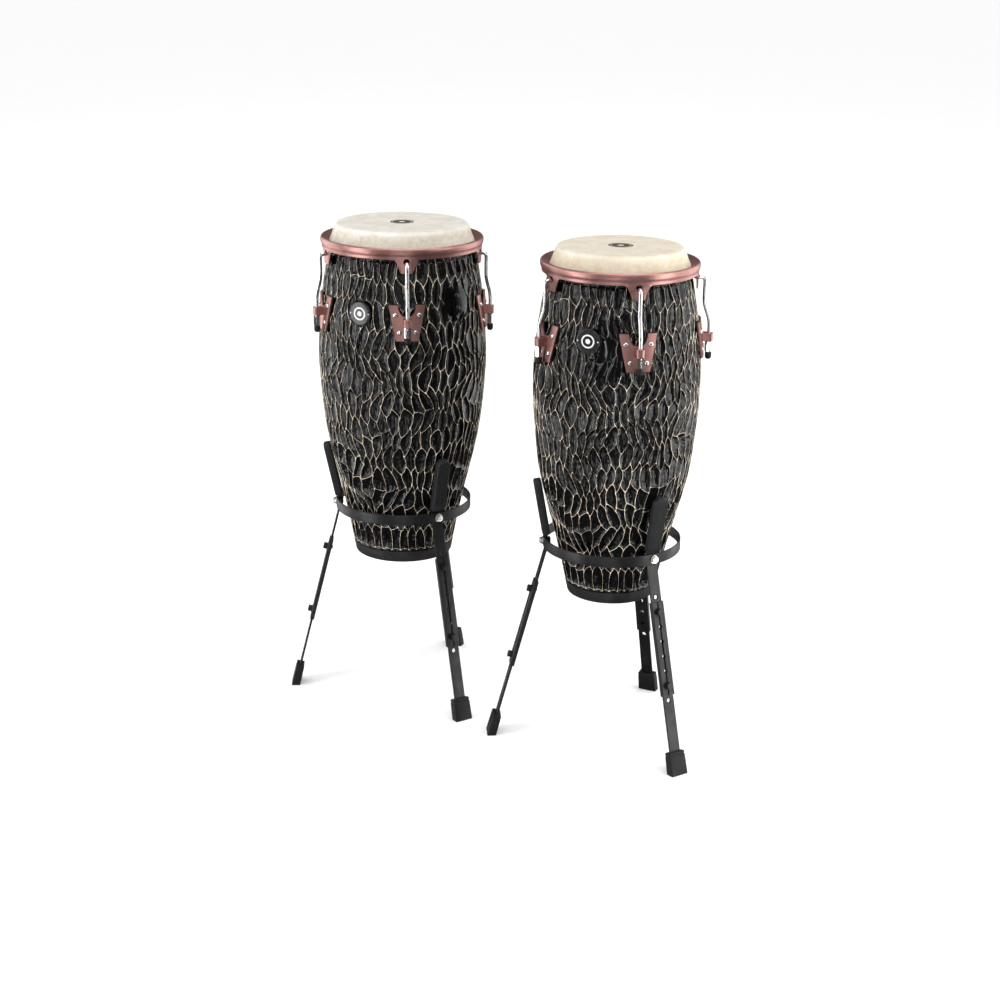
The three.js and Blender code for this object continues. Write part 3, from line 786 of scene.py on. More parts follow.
def carved_shell(kit):
    """The shell: the carved outside, the bearing edge, the bare inside and the rebate for the base ring."""
    head = kit.head
    carving = Carving(kit)
    flat, lift, ridge, polished = carving.levelled(PLAIN[kit.name])
    tuck_depth, tuck_step = np.array(TUCK).T
    tucked = head + np.interp(flat[:, 1], tuck_depth, tuck_step)
    radius = kit.radius(flat[:, 1])
    radius = np.where(flat[:, 1] < tuck_depth[-1], np.minimum(radius, tucked), radius) + lift
    points = list(about_axis(radius, flat[:, 0], at(flat[:, 1])))
    faces = carving.faces
    top, bottom = carving.rim_loop(TOP_EDGE), carving.rim_loop(BOTTOM_EDGE)
    top_angles, bottom_angles = flat[top, 0], flat[bottom, 0]

    def carry_on(loop, angles, stations):
        """Carries the surface on from a loop through pairs of radius and depth, and gives the last loop."""
        for r, depth in stations:
            following = range(len(points), len(points) + len(loop))
            points.extend(about_axis(r, angles, at(depth)))
            faces.extend((loop[k - 1], loop[k], following[k], following[k - 1]) for k in range(len(loop)))
            loop = following
        return loop

    edge = [(6.8, 51.5), (2, 30), (-2.6, 10), (-4.8, 6), (-9, 2.8), (-12, 9), (-5, 60)]
    inside = carry_on(top, top_angles, [(head + step, depth) for step, depth in edge])
    painted = len(faces)
    bare = [(kit.radius(depth) - WALL, depth) for depth in (130, 200, 265, 330, 400, 474, 540, 610, 660)]
    inside = carry_on(inside, top_angles, bare + [(kit.radius(704) - WALL - 2.5, 704)])
    woodwork = range(painted, len(faces))
    rebate = -BASE_THICKNESS - 0.6
    steps = (-0.5, 686.6), (rebate, 686.7), (rebate, 707.9)
    lower = carry_on(bottom, bottom_angles, [(kit.radius(depth) + step, depth) for step, depth in steps])
    # the two edges have different counts of points: join them by angle
    below, above = sorted(bottom_angles % TURN), sorted(top_angles % TURN)
    below, above = [*below, below[0] + TURN], [*above, above[0] + TURN]
    lower, inside = [*lower, lower[0]], [*inside, inside[0]]
    i = j = 0
    while i + 1 < len(lower) or j + 1 < len(inside):
        if i + 1 < len(lower) and (j + 1 == len(inside) or below[i + 1] <= above[j + 1]):
            i += 1
            faces.append((lower[i - 1], lower[i], inside[j]))
        else:
            j += 1
            faces.append((lower[i], inside[j], inside[j - 1]))
    added = len(points) - len(flat)
    values = {"ridge_mm": [*ridge] + [UNCARVED] * added, "polished": [*polished] + [0.0] * added}
    piece = make(kit, "carved_shell", (points, faces), LACQUER, "drum", node="shell", sharp=70, values=values)
    piece.data.materials.append(WOOD)
    for face in woodwork:
        piece.data.polygons[face].material_index = 1


# ---- Head, hoop, base ring and rim ----

FAR = 99.0  # the distance from the middle that a surface with no print is given
HOOP_STEP, HOOP_DEPTH, HOOP_WIRE = 15.6, 41.9, 3.0
EAR_DEPTH, RIM_EDGE, EAR_TOP_HALF = 78.0, 50.0, 30.0
HOLE_DEPTH, HOLE_RADIUS, HOOK_DEPTH = 54.5, 6.4, 56.4


def head_skin(kit):
    """The hide: its top, its collar down to the hoop and its underside."""
    rng = random.Random(kit.seed + 5)
    folds = [(rng.uniform(0.1, 0.3), rng.randint(9, 40), rng.uniform(0, 6.28)) for _ in range(7)]
    flat = [(0.01, 0.35), (4, 0.35), (6.4, 0.35), (12, 0.34), (18.8, 0.34), (20.2, 0.33), (24.5, 0.33),
            (40, 0.3), (70, 0.22), (100, 0.12)]
    # from here radii are steps from the head's own: first outside, then back up inside
    turned_over = [
        (-18, 0.02), (-13, 0.05), (-10, 0.3), (-7.5, 0.8), (-5.2, 1.7), (-3.3, 3.0), (-1.8, 4.8), (-0.6, 7.2),
        (0.5, 10.4), (1.8, 14.5), (3.4, 19.5), (5.1, 24.5), (6.9, 28.5), (8.8, 32.0), (10.3, 35.0),
        (11.0, 37.5), (11.2, 40.5), (9.2, 40.5), (9.0, 37.5), (6.9, 32.0), (3.2, 24.5), (-1.4, 10.4),
        (-3.6, 6.2), (-5.6, 4.0), (-9, 2.3)]
    profile = flat + [(kit.head + step, depth) for step, depth in turned_over] + [(60, 2.1), (0.01, 2.1)]
    angles = around(192)
    wave = 0.55 * sum(size * np.sin(waves * angles + phase) for size, waves, phase in folds)
    rows, marks, collar = [], [], []
    for r, depth in profile:
        rows.append(about_axis(r + wave * smoothstep(depth, 7.0, 30.0), angles, at(depth)))
        marks += [min(r, FAR) if depth < 1.0 else FAR] * len(angles)
        collar += [smoothstep(depth, 3.0, 14.0)] * len(angles)
    shape = np.concatenate(rows), capped(len(rows), len(angles))
    values = {"print_mm": marks, "collar": collar}
    piece = make(kit, "hide_head", shape, HIDES[kit.name], None, node="head_skin", sharp=80, values=values)
    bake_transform(piece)


def flesh_hoop(kit):
    shape = lathe(circle(HOOP_WIRE, kit.head + HOOP_STEP, at(HOOP_DEPTH), 14))
    make(kit, "hoop_wire", shape, STEEL, "tension_rim", node="flesh_hoop")


def base_ring(kit):
    top, radius = DRUM_HEIGHT - BASE_HEIGHT, kit.radius
    high, low = radius(top), radius(DRUM_HEIGHT)
    outline = [(high - BASE_THICKNESS, top), (high - 0.9, top), (high, top + 0.9), (radius(698), 698),
               (radius(708) + 0.2, 708), (radius(710) - 0.3, 710), (low - 1.6, DRUM_HEIGHT),
               (low - 11, DRUM_HEIGHT), (low - 12, 710.2), (low - 12, 708.8),
               (radius(708.5) - BASE_THICKNESS, 708.5)]
    shape = lathe([(r, at(depth)) for r, depth in outline], 160)
    make(kit, "base_boot", shape, BASE_RUBBER, "drum", node="base_ring", sharp=40)


def rim(kit):
    """The rolled rim. Its lower edge drops into an ear at each lug."""
    fillet = arc_points((EAR_TOP_HALF, RIM_EDGE), (22.0, RIM_EDGE), (20.0, RIM_EDGE + 8), 10)
    side = arc_points((20.0, RIM_EDGE + 8), (16.5, 64.0), (13.6, EAR_DEPTH - 4), 8)[1:]
    corner = arc_points((13.6, EAR_DEPTH - 4), (12.8, EAR_DEPTH), (9.0, EAR_DEPTH), 6)[1:]
    half = np.concatenate([fillet, side, corner, [(u, EAR_DEPTH) for u in np.linspace(7, 0, 7)]])
    ear = np.concatenate([half * (-1, 1), half[-2::-1]])
    outer = kit.head + 26.0
    reach = EAR_TOP_HALF / outer
    columns = []
    for azimuth in np.radians(kit.lugs):
        columns += [(azimuth + u / outer, v) for u, v in ear]
        between = np.linspace(azimuth + reach, azimuth + TURN / 5 - reach, 26)[1:-1]
        columns += [(angle, RIM_EDGE) for angle in between]
    # steps from the head's radius, and depths: over the roll to the outside, and up again inside
    section = [(12.7, 34.0), (14.0, 33.2), (19.0, 30.4), (23.0, 27.9), (24.6, 27.1), (26.2, 27.2),
               (27.8, 28.6), (28.8, 30.8), (29.0, 33.5), (28.9, 37.0), (28.2, 39.6), (27.2, 41.8),
               (26.4, 43.8), (26.0, 46.0)]
    inside = [(23.0, 46.0), (23.0, 41.5), (22.4, 39.2), (20.5, 38.2), (13.2, 37.6), (12.6, 37.0)]
    rows = []
    for angle, edge in columns:
        drop = [(26.0, edge - 1.0), (25.7, edge - 0.3), (25.1, edge)]
        drop += [(23.9, edge), (23.3, edge - 0.3), (23.0, edge - 1.0)]
        steps, depths = np.array(section + drop + inside).T
        rows.append(about_axis(kit.head + steps, angle, at(depths)))
    shape = np.concatenate(rows), grid_faces(len(rows), len(rows[0]), True)
    ring = make(kit, "tension_ring", shape, COPPER, "tension_rim", node="rim", sharp=38)
    cut(ring, kit, radial_holes(kit.lugs, HOLE_RADIUS, kit.head + 15, kit.head + 35, at(HOLE_DEPTH), 32))


# ---- Lugs ----

BEND_TOP, BEND_BOTTOM = 98.0, 150.0
TIP_TOP = 204.0
NUT_FLATS, NUT_TOP, NUT_HEIGHT = 13.0, 182.0, 21.0
PLATE_TOP, PLATE_BOTTOM, PLATE_WIDE, PLATE_NARROW = 140.0, 212.0, 37.5, 22.0
PLATE_MIDDLE = (PLATE_TOP + PLATE_BOTTOM) / 2
PLATE_STEP, PLATE_THICKNESS = 2.2, 3.0
NOTCH_HALF, NOTCH_DEEP = 19.0, 23.5
EYE_TOP, EYE_BOTTOM = 165.0, 181.5


def about_rod(kit, radius, angles, depth):
    """A level ring of points about the hook bolt's line at azimuth 0."""
    x, y = radius * np.cos(angles), radius * np.sin(angles) - kit.rod_radius
    return np.column_stack([x, y, np.full(len(angles), at(depth))])


def hook_bolt(kit, number, azimuth):
    """A hook through the ear, a shank that leans in to the shell, a rolled thread and a rubber tip."""
    low, high, inner = kit.rod_radius, kit.head + 39.0, kit.head + 18.6
    ends = [(inner - 0.9, HOOK_DEPTH), (inner - 0.6, HOOK_DEPTH), (inner, HOOK_DEPTH)]
    elbow = arc_points((high - 9.0, HOOK_DEPTH), (high, HOOK_DEPTH), (high, HOOK_DEPTH + 9.0), 9)
    straight = [(high, depth) for depth in (72, 80, 90, BEND_TOP)]
    t = np.linspace(0, 1, 13)[1:, None]
    bend = (high, BEND_TOP), (high, BEND_TOP + 20), (low, BEND_BOTTOM - 20), (low, BEND_BOTTOM)
    a, b, c, d = map(np.array, bend)
    lean = (1 - t) ** 3 * a + 3 * t * (1 - t) ** 2 * b + 3 * t**2 * (1 - t) * c + t**3 * d
    path = np.concatenate([ends, elbow, straight, lean])
    radii = np.full(len(path), ROD / 2)
    radii[:2] = ROD / 2 - 1.2, ROD / 2 - 0.5
    shank = tube([(0.0, -r, at(depth)) for r, depth in path], radii, 20)
    angles = around(16)
    rows = []
    for depth in np.arange(BEND_BOTTOM, TIP_TOP + 4.0, THREAD_PITCH / 4):
        phase = (angles / TURN + depth / THREAD_PITCH) % 1.0
        bite = 0.32 * np.abs(2 * phase - 1) * min(1.0, (depth - BEND_BOTTOM) / 3.0)
        rows.append(about_rod(kit, ROD / 2 - 0.02 - bite, angles, depth))
    thread = np.concatenate(rows), capped(len(rows), len(angles))
    node = f"hook_bolt_{number}"
    make(kit, f"hook_{number}", join(shank, thread), CHROME, "tension_rim", azimuth, node, 50)
    tip = [(4.2, 0.0), (6.2, 0.2), (6.5, 0.9), (6.5, 8.0), (6.1, 10.4), (4.9, 12.5), (2.9, 13.7), (0.8, 14.0)]
    points, faces = lathe([(r, at(TIP_TOP + down)) for r, down in tip], 24, closed=False)
    points[:, 1] -= low
    make(kit, f"rod_tip_{number}", (points, faces), RUBBER, "tension_rim", azimuth, sharp=50)


def tuning_nut(kit, number, azimuth):
    """A long chamfered hexagon nut with its hole."""
    angles = around(48)
    end = [(BORE, 0.0), (5.2, 0.0), (6.25, 0.0), (6.75, 0.35), (7.2, 0.8), (7.6, 1.4)]
    outline = end + [(r, NUT_HEIGHT - down) for r, down in end[::-1]]
    limit = hexagon(angles, NUT_FLATS)
    rows = [about_rod(kit, np.minimum(r, limit), angles, NUT_TOP + down) for r, down in outline]
    shape = np.concatenate(rows), grid_faces(len(rows), len(angles), True)
    name = f"nut_{number}"
    make(kit, name, shape, CHROME, name, azimuth, "tuning_" + name, 28)


def plate_columns(grow):
    """The side plate's outline as columns: how far sideways, and its upper and lower depth there."""
    slope = (PLATE_BOTTOM - PLATE_TOP) / (PLATE_WIDE - PLATE_NARROW)
    half = []
    outer = np.linspace(20.6, PLATE_WIDE - 0.8 + grow, 13)
    for u in [*np.linspace(0, 17.5, 18), *np.linspace(18.0, 20.0, 9), *outer]:
        notch = min(1.0, (u + grow * 0.8) / NOTCH_HALF)
        top = PLATE_TOP + NOTCH_DEEP * (1 - notch**3.2) ** 0.72 - grow
        bottom = min(PLATE_BOTTOM + grow, PLATE_BOTTOM + grow * 1.6 - (u - PLATE_NARROW) * slope)
        half.append((u, top, max(bottom, top + 1.2)))
    return [(-u, top, bottom) for u, top, bottom in half[:0:-1]] + half


def plate_radius(kit, depth, step):
    """The radius at a depth of a straight-sided plate that stands a step off the shell's middle."""
    slope = (kit.radius(PLATE_BOTTOM) - kit.radius(PLATE_TOP)) / (PLATE_BOTTOM - PLATE_TOP)
    return kit.radius(PLATE_MIDDLE) + step + (depth - PLATE_MIDDLE) * slope


def curved_plate(kit, grow, step, thickness):
    """A plate bent to the shell: columns of a loop that runs down its front and up its back."""
    shares = np.array([0.0, 0.06, 0.2, 0.4, 0.6, 0.8, 0.94, 1.0])
    down, out = np.append(shares, shares[::-1]), np.repeat([thickness, 0.0], len(shares))
    back = plate_radius(kit, PLATE_MIDDLE, step)
    columns = []
    for u, top, bottom in plate_columns(grow):
        depth = top + (bottom - top) * down
        columns.append(about_axis(plate_radius(kit, depth, step) + out, u / back, at(depth)))
    return np.concatenate(columns), capped(len(columns), len(down))


def lug_plate(kit, number, azimuth):
    """The side plate with its eye, its gasket and its four screws."""
    plate = curved_plate(kit, 0.0, PLATE_STEP, PLATE_THICKNESS)
    node = f"lug_plate_{number}"
    soften(make(kit, f"side_plate_{number}", plate, COPPER, "drum", azimuth, node, 40), 0.8)
    # the eye: a folded block from the plate to beyond the rod
    rod, back = kit.rod_radius, plate_radius(kit, PLATE_MIDDLE, PLATE_STEP)
    side = [(8, -back - 1.5), (8, -rod - 3.5), (6.2, -rod - 7.0)]
    outline = side + [(0, -rod - 8.0)] + [(-a, b) for a, b in side[::-1]]
    block = prism(rounded(outline, [0] + [2.2] * 5 + [0]), at(EYE_BOTTOM), at(EYE_TOP), upright)
    eye = make(kit, f"rod_eye_{number}", block, COPPER, "drum", azimuth, sharp=30)
    cut(eye, kit, [prism(circle(BORE, 0.0, -rod), at(EYE_BOTTOM + 4.5), at(EYE_TOP - 5.0), upright)], azimuth)
    soften(eye, 0.7)
    gasket = curved_plate(kit, 1.6, 0.15, 2.0)
    soften(make(kit, f"plate_gasket_{number}", gasket, RUBBER, "drum", azimuth, sharp=40), 0.4)
    dome = [(2.6, -6.0), (2.6, -0.2), (4.9, -0.2), (5.0, 0.5), (4.7, 1.5), (3.9, 2.4), (2.7, 3.0), (2.1, 3.1),
            (1.8, 1.6), (0.9, 1.5), (0.01, 1.5)]
    heads = []
    for u, down in ((-24.0, 20.0), (24.0, 20.0), (-15.5, 55.0), (15.5, 55.0)):
        depth = PLATE_TOP + down
        face = plate_radius(kit, depth, PLATE_STEP + PLATE_THICKNESS)
        points, faces = turned_radially(dome, face, at(depth), sides=20)
        heads.append((turned(points, math.degrees(u / back)), faces))
    make(kit, f"plate_screws_{number}", join(*heads), CHROME, "drum", azimuth, sharp=45)


def badge(kit):
    """A slightly domed disc with two rivets, and a plain printed face."""
    face, height, sides = kit.radius(kit.badge_depth) + 1.6, at(kit.badge_depth), 64
    disc = [(24.0, -2.6), (24.2, -0.2), (23.6, 0.7), (22.0, 1.0), (18.0, 1.15), (13.3, 1.25), (10.3, 1.3),
            (5.0, 1.35), (2.0, 1.35), (0.01, 1.35)]
    marks = np.repeat([r for r, _ in disc], sides)
    shape = turned_radially(disc, face, height, sides=sides)
    make(kit, "badge", shape, BADGE, "drum", kit.badge, sharp=50, values={"print_mm": marks})
    dome = [(1.5, -2.0), (1.7, 0.9), (1.6, 1.5), (1.1, 1.9), (0.01, 2.0)]
    rivets = [turned_radially(dome, face, height, across, 16) for across in (-20.5, 20.5)]
    make(kit, "badge_rivets", join(*rivets), CHROME, "drum", kit.badge, sharp=50)


def patch_fixings(kit):
    """Two dark domed fixings on the conga's smooth patch."""
    dome = [(5.6, -1.5), (5.8, 0.6), (5.6, 1.8), (4.8, 3.1), (3.4, 4.1), (1.7, 4.7), (0.01, 4.9)]
    spots = (0.5, 130.0), (2.0, 155.0)
    studs = [turned_radially(dome, kit.radius(depth) - 0.9, at(depth), across, 28) for across, depth in spots]
    make(kit, "patch_fixings", join(*studs), GLOSS_CAP, "drum", PLAIN[kit.name][0][0], sharp=50)


# ---- Stand ----

RING_BOLT_HOLE = 4.5
RIBS = 8
LOCK_HOLE = SLEEVE_START + SLEEVE_LENGTH - HOLE_EDGE


def bar_outline(path, thickness):
    """Both sides of a bent bar in (radius, height)."""
    path = np.array(path)
    legs = np.diff(path, axis=0)
    legs /= np.linalg.norm(legs, axis=1)[:, None]
    before, after = np.vstack([legs[:1], legs]), np.vstack([legs, legs[-1:]])
    along = before + after
    along /= np.linalg.norm(along, axis=1)[:, None]
    reach = thickness / 2 / (along * before).sum(1)
    side = np.column_stack([-along[:, 1] * reach, along[:, 0] * reach])
    return [*(path + side), *(path - side)[::-1]]


def sideways(a, b, along):
    """(radius, height, along the width) to a local point."""
    return along, -a, b


def down_leg(kit, points):
    x, y, z = np.asarray(points, float).T
    c, s = math.cos(-kit.leg_tilt), math.sin(-kit.leg_tilt)
    return np.column_stack([x, y * c - z * s - kit.bar, y * s + z * c + RING_HEIGHT - BAR_FLAT])


def on_leg(kit, shape):
    return down_leg(kit, shape[0]), shape[1]


def leg_holes(kit, downs):
    """Cutters: holes through a leg at distances down it."""
    return [on_leg(kit, prism(circle(BAR_HOLE, 0.0, -down), -15.0, 15.0, crosswise)) for down in downs]


def hex_bolt(profile, height, flats=13.0, sides=36):
    """A bolt along the radius at a height, from rows of (whether it is hexagonal, radius, reach)."""
    angles = around(sides)
    rows = []
    for is_hex, r, reach in profile:
        limit = np.minimum(r, hexagon(angles, flats)) if is_hex else np.full(sides, r)
        across, up = limit * np.cos(angles), height + limit * np.sin(angles)
        rows.append(np.column_stack([across, np.full(sides, -reach), up]))
    return np.concatenate(rows), capped(len(rows), sides)


def stand_ring(kit):
    outer = kit.ring
    edges = outer - RING_THICKNESS, outer, RING_HEIGHT - RING_HALF, RING_HEIGHT + RING_HALF
    shape = lathe(rounded(rectangle(*edges), 0.9), 160)
    ring = make(kit, "basket_ring", shape, POWDER, "stand", node="stand_ring")
    cut(ring, kit, radial_holes(LEG_AZIMUTHS, RING_BOLT_HOLE, outer - 12, outer + 12, RING_HEIGHT, 24))


def arm_pad(kit, number, azimuth):
    """The ribbed rubber pad: a row of ribs down its outer face and a rounded top."""
    s, c = math.sin(kit.arm_tilt), math.cos(kit.arm_tilt)
    start = kit.bar + (PAD_TOP - RING_HEIGHT - BAR_FLAT) * s / c
    length = PAD_LENGTH * 0.93 / c
    half = PAD_WIDTH / 2
    across = np.linspace(-half, half, 65)
    ribbing = 0.9 * np.clip(2.2 * (0.5 - 0.5 * np.cos(TURN * (across + half) / (PAD_WIDTH / RIBS))), 0, 1)
    edge = np.maximum(0.0, np.abs(across) - half + 3.0)
    rounding = 3.0 - np.sqrt(np.maximum(0.0, 9.0 - edge**2))
    arch = 9.0 * (np.abs(across) / half) ** 2.4
    front = PAD_THICKNESS / 2 - 0.9 + ribbing - rounding
    back = rounding - PAD_THICKNESS / 2
    # distances down the pad, and how far its faces are tucked in at each
    stations = [(down, 2.6 * (1 - down / 5.0) ** 2) for down in (0.0, 0.35, 1.2, 2.8)]
    stations += [(down, 0.0) for down in (5.0, 9.0, 15.0, 30.0, 50.0, 70.0, 90.0, 105.0, length - 1.5)]
    stations.append((length, 0.8))
    rows = []
    for station, tuck in stations:
        down = station + arch * max(0.0, 1 - station / 60.0)
        u, down = np.append(across, across[::-1]), np.append(down, down[::-1])
        out = np.append(front - tuck, (back + tuck * 0.8)[::-1])
        rows.append(np.column_stack([u, down * s - out * c - start, PAD_TOP - down * c - out * s]))
    per = len(rows[0])
    faces = grid_faces(len(rows), per)
    # caps: strips between the front half and the back half of the first and last rows
    for base in (0, (len(rows) - 1) * per):
        after = base + per - 1
        faces += [(base + k, base + k + 1, after - 1 - k, after - k) for k in range(len(across) - 1)]
    shape = np.concatenate(rows), faces
    make(kit, f"arm_pad_{number}", shape, PAD_RUBBER, "stand", azimuth, f"upper_leg_{number}", 50)


def leg(kit, number, azimuth):
    """The leg's fixed half: its bent bar, its sleeve, and the bolts through the ring and the sleeve."""
    bar, ring, lean, slope = kit.bar, kit.ring, math.tan(kit.arm_tilt), math.tan(kit.leg_tilt)
    bend_top, bend_low = RING_HEIGHT + BAR_FLAT, RING_HEIGHT - BAR_FLAT
    end, arm = bend_low - UPPER_END * math.cos(kit.leg_tilt), PAD_TOP - 12
    path = [(bar + (arm - bend_top) * lean, arm), (bar + 3 * lean, bend_top + 3),
            (bar + 0.4 * lean, bend_top), (bar, bend_top - 3), (bar, bend_low + 3),
            (bar + 0.4 * slope, bend_low), (bar + 3 * slope, bend_low - 3),
            (bar + (bend_low - end) * slope, end)]
    shape = prism(bar_outline(path, BAR_THICKNESS), -BAR_WIDTH / 2, BAR_WIDTH / 2, sideways)
    strip = make(kit, f"leg_bar_{number}", shape, POWDER, "stand", azimuth, f"upper_leg_{number}")
    cut(strip, kit, leg_holes(kit, [SLEEVE_START + HOLE_EDGE - HOLE_PITCH]), azimuth)
    soften(strip, 0.6)

    w, d, t, s = SLEEVE_WIDTH / 2, SLEEVE_DEPTH / 2, SLEEVE_WALL, SLEEVE_SLOT / 2
    inside = [(-s, -d), (-s, -d + t), (-w + t, -d + t), (-w + t, d - t)]
    section = inside + [(-a, b) for a, b in inside[::-1]] + [(w, -d), (w, d), (-w, d), (-w, -d)]
    radii = [0.5] * 2 + [0.3] * 4 + [0.5] * 2 + [1.9] * 4
    shape = prism(rounded(section, radii, 4), -SLEEVE_START - SLEEVE_LENGTH, -SLEEVE_START, upright)
    sleeve = make(kit, f"leg_sleeve_{number}", on_leg(kit, shape), POWDER, "stand", azimuth, sharp=30)
    holes = [SLEEVE_START + HOLE_EDGE + HOLE_PITCH * k for k in range(6)]
    cut(sleeve, kit, leg_holes(kit, holes), azimuth)

    # the bolt through the ring: washer and hexagon head outside, black nut inside
    head = [(0, 8.2, 0.2), (0, 8.2, 1.6), (1, 7.0, 1.6), (1, 7.6, 2.2), (1, 7.6, 6.2), (1, 6.9, 7.0),
            (1, 5.6, 7.2), (1, 3.4, 6.9)]
    head = hex_bolt([(is_hex, r, ring + out) for is_hex, r, out in head], RING_HEIGHT)
    shank = hex_bolt([(0, 3.9, bar - 6.0), (0, 3.9, ring + 1.0)], RING_HEIGHT)
    make(kit, f"ring_bolt_{number}", join(head, shank), ZINC, "stand", azimuth, sharp=28)
    nut = [(6.4, 8.6), (7.6, 7.8), (8.6, 7.2), (8.6, 2.9), (8.2, 2.2)]
    nut = hex_bolt([(1, r, bar - back) for r, back in nut], RING_HEIGHT, 15.0)
    make(kit, f"ring_nut_{number}", nut, POWDER, "stand", azimuth, sharp=28)

    # the two black bolts of the sleeve: the upper one goes through to the bar
    head = [(0, 3.9, -0.2), (0, 8.0, 0.1), (0, 8.0, 1.4), (1, 7.2, 1.4), (1, 7.6, 2.0), (1, 7.6, 8.0),
            (1, 6.8, 8.8), (1, 5.4, 9.0)]
    head = [(is_hex, r, SLEEVE_DEPTH / 2 + out) for is_hex, r, out in head]
    places = (holes[0], -7.0), (holes[-1], 2.9)
    bolts = [on_leg(kit, hex_bolt([(0, 3.9, shank)] + head, -down)) for down, shank in places]
    make(kit, f"sleeve_bolts_{number}", join(*bolts), POWDER, "stand", azimuth, sharp=28)


def lower_leg(kit, number, azimuth):
    """The sliding half of the leg: its drilled bar and its rubber foot, cut level with the floor."""
    body = f"leg_{number}"
    length = (RING_HEIGHT - BAR_FLAT) / math.cos(kit.leg_tilt)
    ankle = length - FOOT_HEIGHT
    half, thick = BAR_WIDTH / 2, BAR_THICKNESS / 2
    outline = rounded(rectangle(-half, half, -ankle - FOOT_SOCKET, -LOWER_START), 2.0)
    shape = on_leg(kit, prism(outline, -thick, thick, crosswise))
    bar = make(kit, f"sliding_bar_{number}", shape, POWDER, body, azimuth, f"lower_leg_{number}")
    cut(bar, kit, leg_holes(kit, [LOCK_HOLE + HOLE_PITCH * k for k in (-1, 0, 1)]), azimuth)
    soften(bar, 0.5)

    # the boot: a collar, a slight taper and a flat tread, as distance down, half width and half depth
    stations = [(0.0, 17.6, 7.6), (0.8, 18.6, 8.4), (2.2, 18.8, 8.6), (5.0, 18.8, 8.6), (5.6, 18.0, 7.9),
                (6.4, 18.0, 7.9), (7.2, 19.2, 8.7), (12.0, 19.4, 8.8), (24.0, 19.7, 8.9),
                (FOOT_HEIGHT - 8.0, 20.0, 9.0), (FOOT_HEIGHT + 6.0, 20.0, 9.0)]
    rows = [(rounded(rectangle(-w, w, -d, d), 2.6, 5), -ankle - down) for down, w, d in stations]
    points = [(a, b, height) for row, height in rows for a, b in row]
    shape = on_leg(kit, (points, capped(len(rows), len(rows[0][0]))))
    foot = make(kit, f"boot_{number}", shape, RUBBER, body, azimuth, f"foot_{number}", 30)
    w, d = half + 0.3, thick + 0.3
    socket = on_leg(kit, prism(rectangle(-w, w, -d, d), 6 - ankle, -ankle - FOOT_SOCKET, upright))
    under = rectangle(-90, 90, -FOOT_CIRCLE - 90, -FOOT_CIRCLE + 90)
    cut(foot, kit, [socket, prism(under, -100.0, 0.0, upright)], azimuth)
    soften(foot, 0.7)


# ---- Build ----

for kit in KITS:
    carved_shell(kit)
    head_skin(kit)
    flesh_hoop(kit)
    base_ring(kit)
    rim(kit)
    for i, azimuth in enumerate(kit.lugs, 1):
        lug_plate(kit, i, azimuth)
        hook_bolt(kit, i, azimuth)
        tuning_nut(kit, i, azimuth)
    badge(kit)
    stand_ring(kit)
    for i, azimuth in enumerate(LEG_AZIMUTHS, 1):
        arm_pad(kit, i, azimuth)
        leg(kit, i, azimuth)
        lower_leg(kit, i, azimuth)
patch_fixings(KITS[0])

# ---- Floor, light and camera ----

CAMERA = Vector((0.169, -3.629, 1.6471))
YAW, PITCH, ROLL = -0.0401, 0.3150, 0.0117
FOCAL, PICTURE, SENSOR = 1815.6, 1000.0, 36.0  # pixels, pixels and millimetres
FLOOR, BACKDROP = 60, 42.0  # half the floor's side, and the backdrop's radius and height, in metres
WORLD_LIGHT, SUN_LIGHT = 0.10, 3.05
LIGHT_BOXES = (
    ("left_wall", (-4.8, 3.3, 0.9), (0, 3.3, 0.9), (5.4, 6.0), 270),
    ("right_wall", (4.8, 3.3, 0.9), (0, 3.3, 0.9), (5.4, 6.0), 270),
    ("left_box", (-2.7, -1.5, 0.7), (0, 0, 0.7), (0.9, 4.0), 90),
    ("right_box", (2.9, -1.3, 0.7), (0, 0, 0.7), (0.9, 4.0), 98),
    ("front_box", (0.1, -4.8, 2.2), (0, 0, 0.9), (1.2, 2.4), 24),
    ("low_front_box", (-0.03, -2.4, -0.5), (-0.03, 0, -0.5), (0.5, 2.0), 12),
)


def placed(name, data):
    thing = bpy.data.objects.new(name, data)
    bpy.context.scene.collection.objects.link(thing)
    return thing


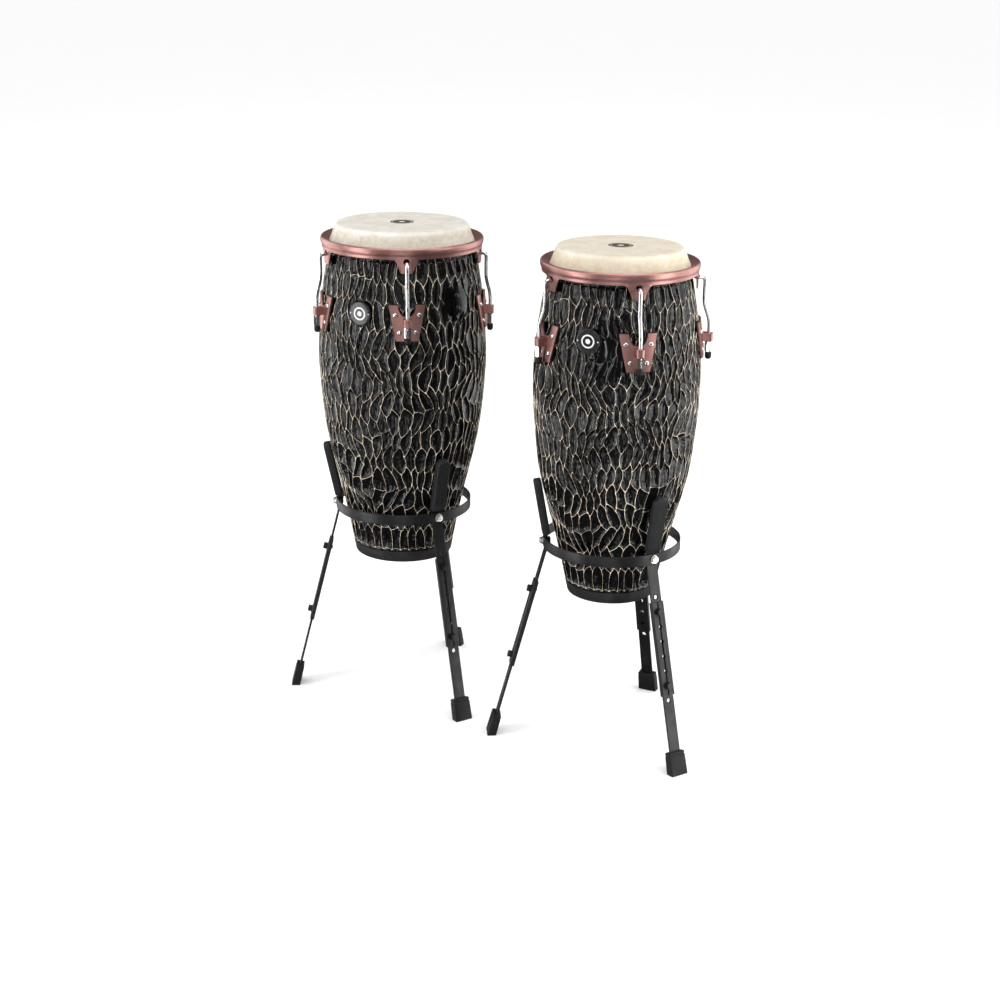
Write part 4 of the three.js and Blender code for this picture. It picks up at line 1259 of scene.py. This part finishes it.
def aim_camera():
    forward = Vector((math.sin(YAW) * math.cos(PITCH), math.cos(YAW) * math.cos(PITCH), -math.sin(PITCH)))
    right = Vector((math.cos(YAW), -math.sin(YAW), 0))
    up = right.cross(forward)
    right, up = right * math.cos(ROLL) + up * math.sin(ROLL), up * math.cos(ROLL) - right * math.sin(ROLL)
    data = bpy.data.cameras.new("camera")
    data.lens = SENSOR * FOCAL / PICTURE
    data.clip_end = 60
    camera = placed("camera", data)
    camera.matrix_world = Matrix(((*right, 0), (*up, 0), (*-forward, 0), (*CAMERA, 1))).transposed()
    bpy.context.scene.camera = camera


def area_light(name, place, target, size, power):
    data = bpy.data.lights.new(name, "AREA")
    data.shape = "RECTANGLE"
    data.size, data.size_y = size
    data.energy = power
    light = placed(name, data)
    light.location = place
    light.rotation_euler = (Vector(target) - Vector(place)).to_track_quat("-Z", "Y").to_euler()
    light.visible_camera = False


def stage_piece(name, points, faces, material):
    mesh = bpy.data.meshes.new(name)
    mesh.from_pydata(points, [], faces)
    mesh.materials.append(material)
    piece = placed(name, mesh)
    return piece


def studio():
    """A pale floor and backdrop that reflections don't see, a soft sun, and light boxes on every side."""
    n = Nodes("pale_floor")
    speck = n.noise(3.0, 2.0)
    n.set(Base_Color=n.mix(n.ramp(speck, 0.3, 0.7), (0.945, 0.945, 0.945), (0.955, 0.955, 0.955)))
    n.set(Roughness=0.9, Specular_IOR_Level=0.1)
    corners = [(x, y, 0) for x, y in rectangle(-FLOOR, FLOOR, -FLOOR, FLOOR)]
    floor = stage_piece("floor", corners, [(0, 1, 2, 3)], n.material)
    floor.visible_glossy = False
    glow = Nodes("pale_backdrop")
    glow.set(Base_Color=(0, 0, 0), Emission_Color=(1, 1, 1), Emission_Strength=1.0, Specular_IOR_Level=0.0)
    ring = [(BACKDROP * math.sin(t), BACKDROP * math.cos(t), z) for z in (-0.1, BACKDROP) for t in around(48)]
    backdrop = stage_piece("backdrop", ring, grid_faces(2, 48), glow.material)
    backdrop.visible_diffuse = backdrop.visible_glossy = backdrop.visible_shadow = False
    world = bpy.data.worlds.new("studio")
    world.use_nodes = True
    background = world.node_tree.nodes["Background"].inputs
    background["Color"].default_value = (1, 1, 1, 1)
    background["Strength"].default_value = WORLD_LIGHT
    bpy.context.scene.world = world
    bpy.context.scene.view_settings.view_transform = "Standard"
    data = bpy.data.lights.new("overhead", "SUN")
    data.energy, data.angle = SUN_LIGHT, math.radians(75)
    placed("overhead", data).rotation_euler = math.radians(12), math.radians(6), 0
    for box in LIGHT_BOXES:
        area_light(*box)


aim_camera()
studio()
